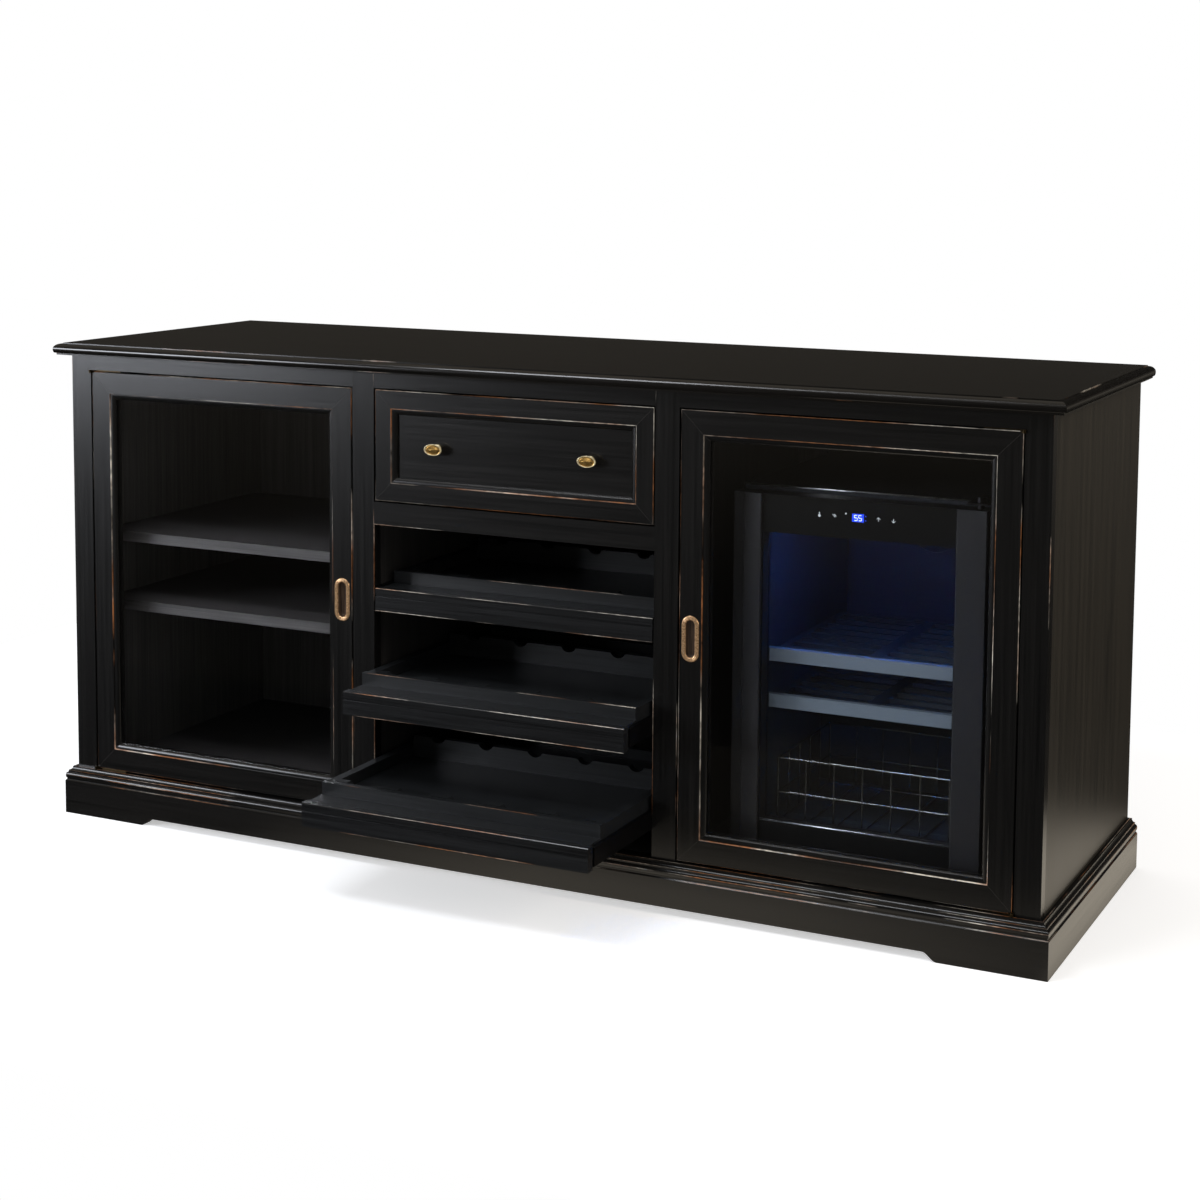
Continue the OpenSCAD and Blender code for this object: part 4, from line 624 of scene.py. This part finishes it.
# Drawer knobs: cast oval heads on turned stems, of brass, with a raised rim round an almond whose
# ridge runs along the oval. Rosette, stem and rim are a near-white cream, partly without metallic
# sheen: a painted highlight over the brass. The almond is worn to a deeper gold.
knob_low, knob_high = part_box("drawer_knobs")
knob_long, knob_short = 17.5 * MM, 10 * MM
almond_rows, almond_foot, almond_share, ridge_blunt = 12, 14.8 * MM, 0.82, 0.004
knob_out = knob_high[1] - knob_low[1]
# Near-white cream for the rosette, stem and rim: a painted highlight over the brass.
brass_painted_highlight = metal("brass_painted_highlight", "#dcc591", "#f3e6c2", 0.28, marks=900.0, strength=0.03, bare=0.6)
worn_brass = metal("worn_brass", "#94713a", "#c29c58", 0.26, marks=900.0, strength=0.03, bare=0.85)


def knob_grid(x, z):
    """Rings from the rosette to the middle of the face. Each has its two half sizes and its height
    over the panel. Inside the rim the almond rises as (1 - u²) - |v|, over the oval (u, v), with
    its ridge a little blunt."""
    rosette, stem = 8 * MM, 3.6 * MM
    turned = [(rosette, 0), (rosette, 1), (0.85 * rosette, 2), (1.3 * stem, 2.6), (stem, 4), (stem, 7.5),
              (1.5 * stem, 9.4)]
    rows = [(size, size, height * MM) for size, height in turned]
    for share, height in ((0.45, 11.4), (0.8, 12.9), (0.95, 14), (1.0, 15.2), (0.985, 16.3), (0.935, 17),
                          (0.875, 16.7), (0.83, 15.5)):
        rows.append((share * knob_long, share * knob_short, height * MM))
    inner = np.linspace(0.8, 0, almond_rows)
    rows += [(share * knob_long, share * knob_short, almond_foot) for share in inner]
    sizes = np.array(rows)
    angle = np.linspace(0, 2 * np.pi, 72, endpoint=False)
    u, v = sizes[:, :1] * np.cos(angle), sizes[:, 1:2] * np.sin(angle)
    along, aside = u / (almond_share * knob_long), v / (almond_share * knob_short)
    almond = np.clip(1 - along ** 2 - np.sqrt(aside ** 2 + ridge_blunt), 0, 1)
    within = (np.arange(len(rows)) >= len(rows) - almond_rows)[:, None]
    height = sizes[:, 2:] + (knob_out - almond_foot) * almond * within
    return np.stack([x + u, knob_high[1] - height, z + v], -1)


for name, x in (("left_knob", knob_low[0] + knob_long), ("right_knob", knob_high[0] - knob_long)):
    grid = knob_grid(x, (knob_low[2] + knob_high[2]) / 2)
    knob = surface(name, [grid], brass_painted_highlight, closed=True)
    knob.data.materials.append(worn_brass)
    for face in list(knob.data.polygons)[-almond_rows * grid.shape[1]:]:
        face.material_index = 1
    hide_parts("drawer_knobs")
    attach(knob, "drawer")

# Racks: boards with a groove under a flat ledge, and trays with a lip, side rails and cradles, glued
# up from the same stained alder. The boards are rubbed along both edges and the lips on top. Both
# are painted paler and a little bluer than the doors: painted light and sheen on fronts and ledges.
lip_back, lip_rise = 57 * MM, 22 * MM
board_arris = 1.5 * MM
for name in ("top", "middle", "bottom"):
    low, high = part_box("rack_%s_front" % name)
    dress(stained_wood("stained_%s_rack_front" % name, "X", edges=[(None, high[2]), (None, low[2])],
                       front=low[1] + board_arris, rub=0.6, dark="#0b0b0c", pale="#1d1e1f"),
          "rack_%s_front" % name)
    dress(stained_wood("stained_%s_rack_tray" % name, "X", edges=[(None, high[2] + lip_rise)],
                       front=low[1] + lip_back, rub=0.4, dark="#0d0e0f", pale="#202224", dull=0.33),
          "rack_%s_tray" % name)

# Cooler body: a matt powder-coated case, a satin liner with ribs, foam in its wall, painted shelf
# trims, a chromed wire basket that mirrors the blue lamp, and the fan, lamp and compressor.
dress(moulded("case_powder", "#131315", 0.5, strength=0.3), "cooler_case", "cooler_condenser")
dress(moulded("compressor_enamel", "#0b0b0c", 0.28), "cooler_compressor")
dress(moulded("black_liner", "#272b32", 0.3), "cooler_liner", "cooler_fan_cover", "cooler_fan",
      "cooler_fan_motor")
dress(moulded("insulation_foam", "#e4dfc8", 0.9, grain=400.0, strength=0.6), "cooler_insulation")
dress(moulded("shelf_paint", "#757d8c", 0.42), "cooler_shelf_fronts")
dress(moulded("deck_paint", "#24272d", 0.45), "cooler_shelf_decks")
dress(metal("chrome", "#cfd2d6", "#e4e6e9", 0.09, marks=200.0, strength=0.02), "cooler_basket")
dress(moulded("rubber", "#131313", 0.7), "cooler_feet", "cooler_door_gasket")

lamp_dim, lamp_bright = 70.0, 95.0
lamp_cover, tree = new_material("lamp_cover")
place = add(tree, "TexCoord", out="Object")
frost = add(tree, "TexNoise", inputs={"Vector": place, "Scale": 600.0, "Detail": 2.0})
level = add(tree, "MapRange", inputs={"Value": frost, "From Min": speck_low, "From Max": speck_high,
                                      "To Min": lamp_dim, "To Max": lamp_bright})
show(tree, add(tree, "BsdfPrincipled", inputs={"Base Color": colour("#6f95ff"), "Roughness": 0.4,
                                               "Emission Color": colour("#3c86ff"),
                                               "Emission Strength": level}))
dress(lamp_cover, "cooler_light")

cover_screw, cover_inset = 3 * MM, 9 * MM
arm_screw, arm_thick, arm_insets = 3.5 * MM, 3 * MM, (10 * MM, 35 * MM)
cover_low, cover_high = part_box("cooler_fan_cover")
spots = [(x, cover_low[1], z) for x in (cover_low[0] + cover_inset, cover_high[0] - cover_inset)
         for z in (cover_low[2] + cover_inset, cover_high[2] - cover_inset)]
screws("fan_cover_screws", spots, (0, -1, 0), cover_screw, "cabinet", dark_steel)
hinge_low, hinge_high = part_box("cooler_hinges")
case_low, case_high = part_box("cooler_case")
spots = [((hinge_low[0] + hinge_high[0]) / 2, hinge_high[1] - inset, case_high[2] + arm_thick)
         for inset in arm_insets]
screws("hinge_screws", spots, (0, 0, 1), arm_screw, "cabinet", dark_steel)

# Cooler door: a frame of moulded plastic behind a sheet of glass, with a second pane inside it and
# two extruded bars of dark anodised aluminium down its sides, whose fine draw lines dull them.
dress(moulded("door_plastic", "#0c0c0e", 0.32), "cooler_door_frame", "cooler_display")
dress(metal("dark_anodised", "#404144", "#464749", 0.45, brushed="Z", marks=1500.0, strength=0.03),
      "cooler_door_bars")
dress(clear_glass("cooler_glass", "#fafcfc"), "cooler_door_glass")

# Cooler trim: bright half-round strips pressed over the case's top front edge and, behind the glass,
# over the sill of the door's window. They catch the light as thin lines.
trim_radius = 1.6 * MM
window_skirt, window_lap, sill_back = 54 * MM, 2 * MM, 2 * MM
bright_trim = metal("bright_trim", "#b9bdc2", "#d5d8db", 0.3, brushed="X", strength=0.03)


def half_round(x0, x1, y, z):
    """A half-round strip along X, from x0 to x1. Its section runs from 90 to 270 degrees round
    (y, z), on the side that faces the front, and each end closes on that centre line."""
    angle = np.radians(np.linspace(0, 180, 9))
    x = np.array([x0, x0, x1, x1])[:, None] + 0 * angle
    reach = np.array([0, 1, 1, 0])[:, None] * trim_radius
    return np.stack([x, y - reach * np.sin(angle), z + reach * np.cos(angle)], -1)


frame_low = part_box("cooler_door_frame")[0]
pane_low, pane_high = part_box("cooler_door_glass")
sill_z = frame_low[2] + window_skirt
case_strip = half_round(case_low[0], case_high[0], case_low[1], case_high[2] - trim_radius)
sill_strip = half_round(pane_low[0] + window_lap, pane_high[0] - window_lap, frame_low[1] + sill_back,
                        sill_z + trim_radius)
for name, grid, body in (("case_trim", case_strip, "cabinet"), ("sill_trim", sill_strip, "cooler_door")):
    strip = surface(name, [grid], bright_trim)
    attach(strip, body)


# Display: printing lit from behind the outer pane, with a blue block and two dots beside it, two
# seven-segment digits and five plain touch marks. The pieces lie just in front of the display.
print_proud, digit_proud = 0.05 * MM, 0.1 * MM


def flat(name, outlines, y, material):
    """Flat faces in one upright plane, from outlines of (x, z) points in millimetres round the
    display's middle."""
    display_low, display_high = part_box("cooler_display")
    middle = (display_low + display_high) / 2
    points, faces = [], []
    for outline in outlines:
        faces.append(list(range(len(points), len(points) + len(outline))))
        points += [(middle[0] + x * MM, y, middle[2] + z * MM) for x, z in outline]
    mesh = bpy.data.meshes.new(name)
    mesh.from_pydata(points, [], faces)
    mesh.materials.append(material)
    made = bpy.data.objects.new(name, mesh)
    bpy.context.scene.collection.objects.link(made)
    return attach(made, "cooler_door")


def lit_print(name, low, high, strength):
    """Glowing ink between two tones, in fine dots."""
    made, tree = new_material(name)
    place = add(tree, "TexCoord", out="Object")
    dots = add(tree, "TexNoise", inputs={"Vector": place, "Scale": 700.0, "Detail": 1.0})
    tone = add(tree, "MapRange", inputs={"Value": dots, "From Min": tone_low, "From Max": tone_high})
    ink = add(tree, "Mix", {"data_type": "RGBA"}, {0: tone, 6: colour(low), 7: colour(high)}, out=2)
    show(tree, add(tree, "BsdfPrincipled", inputs={"Base Color": ink, "Roughness": 0.4,
                                                   "Emission Color": ink,
                                                   "Emission Strength": strength}))
    return made


def stroke(x0, z0, x1, z1, width):
    """A straight stroke with pointed ends, as on a segment display: its two ends, and a corner to
    each side half a width in from each of them."""
    run, rise = x1 - x0, z1 - z0
    length = math.hypot(run, rise)
    ux, uz = run / length * width / 2, rise / length * width / 2
    return [(x0, z0), (x0 + ux - uz, z0 + uz + ux), (x1 - ux - uz, z1 - uz + ux), (x1, z1),
            (x1 - ux + uz, z1 - uz - ux), (x0 + ux + uz, z0 + uz - ux)]


def disc(x, z, r, points=14):
    """A round dot: points at even angles round (x, z), r away from it."""
    return [(x + r * math.cos(i * 2 * math.pi / points), z + r * math.sin(i * 2 * math.pi / points))
            for i in range(points)]


display_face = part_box("cooler_display")[0][1]
block_half_w, block_half_h = 10, 6.6
digit_w, digit_h, digit_line = 5.0, 8.6, 1.2
digit_lefts = (-6.1, 1.1)
flat("display_block", [[(-block_half_w, -block_half_h), (block_half_w, -block_half_h),
                        (block_half_w, block_half_h), (-block_half_w, block_half_h)],
                       disc(13, -3.4, 0.9), disc(13, 3.4, 0.9)],
     display_face - print_proud, lit_print("blue_block", "#0e2fc4", "#1c4af4", 1.0))

# A five's segments, each with its two ends in a box of 1 by 1: top, upper left, middle, lower right
# and bottom.
five = [(0, 1, 1, 1), (0, 0.5, 0, 1), (0, 0.5, 1, 0.5), (1, 0, 1, 0.5), (0, 0, 1, 0)]
digits = [stroke(left + x0 * digit_w, (z0 - 0.5) * digit_h, left + x1 * digit_w,
                 (z1 - 0.5) * digit_h, digit_line)
          for left in digit_lefts for x0, z0, x1, z1 in five]
flat("display_digits", digits, display_face - digit_proud,
     lit_print("digit_ink", "#c3d4ff", "#e8efff", 1.0))

# Touch marks, from left to right: a disc with a stem, two slanting strokes, a dot, an arrow up and
# an arrow down.
mark_line = 1.0
marks = [
    disc(-65.5, -1, 2.3), stroke(-65.5, 0.6, -65.5, 5, 1.8),
    stroke(-43.4, 3.2, -38.4, -1.8, mark_line), stroke(-40.4, 3.4, -36.4, -0.6, mark_line),
    disc(-20.5, 5.6, 1.5),
    stroke(31.2, 0.2, 34.5, 3.4, mark_line), stroke(34.5, 3.4, 37.8, 0.2, mark_line),
    stroke(34.5, 3, 34.5, -3.2, mark_line),
    stroke(56.2, 0, 59.5, -3.2, mark_line), stroke(59.5, -3.2, 62.8, 0, mark_line),
    stroke(59.5, -2.8, 59.5, 3.4, mark_line),
]
flat("touch_marks", marks, display_face - print_proud,
     lit_print("mark_ink", "#a4abb3", "#ccd1d7", 0.5))

# Sizes: the dressed part's box, which is the same as the CAD model's box but for the screws at
# the back.
low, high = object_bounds()
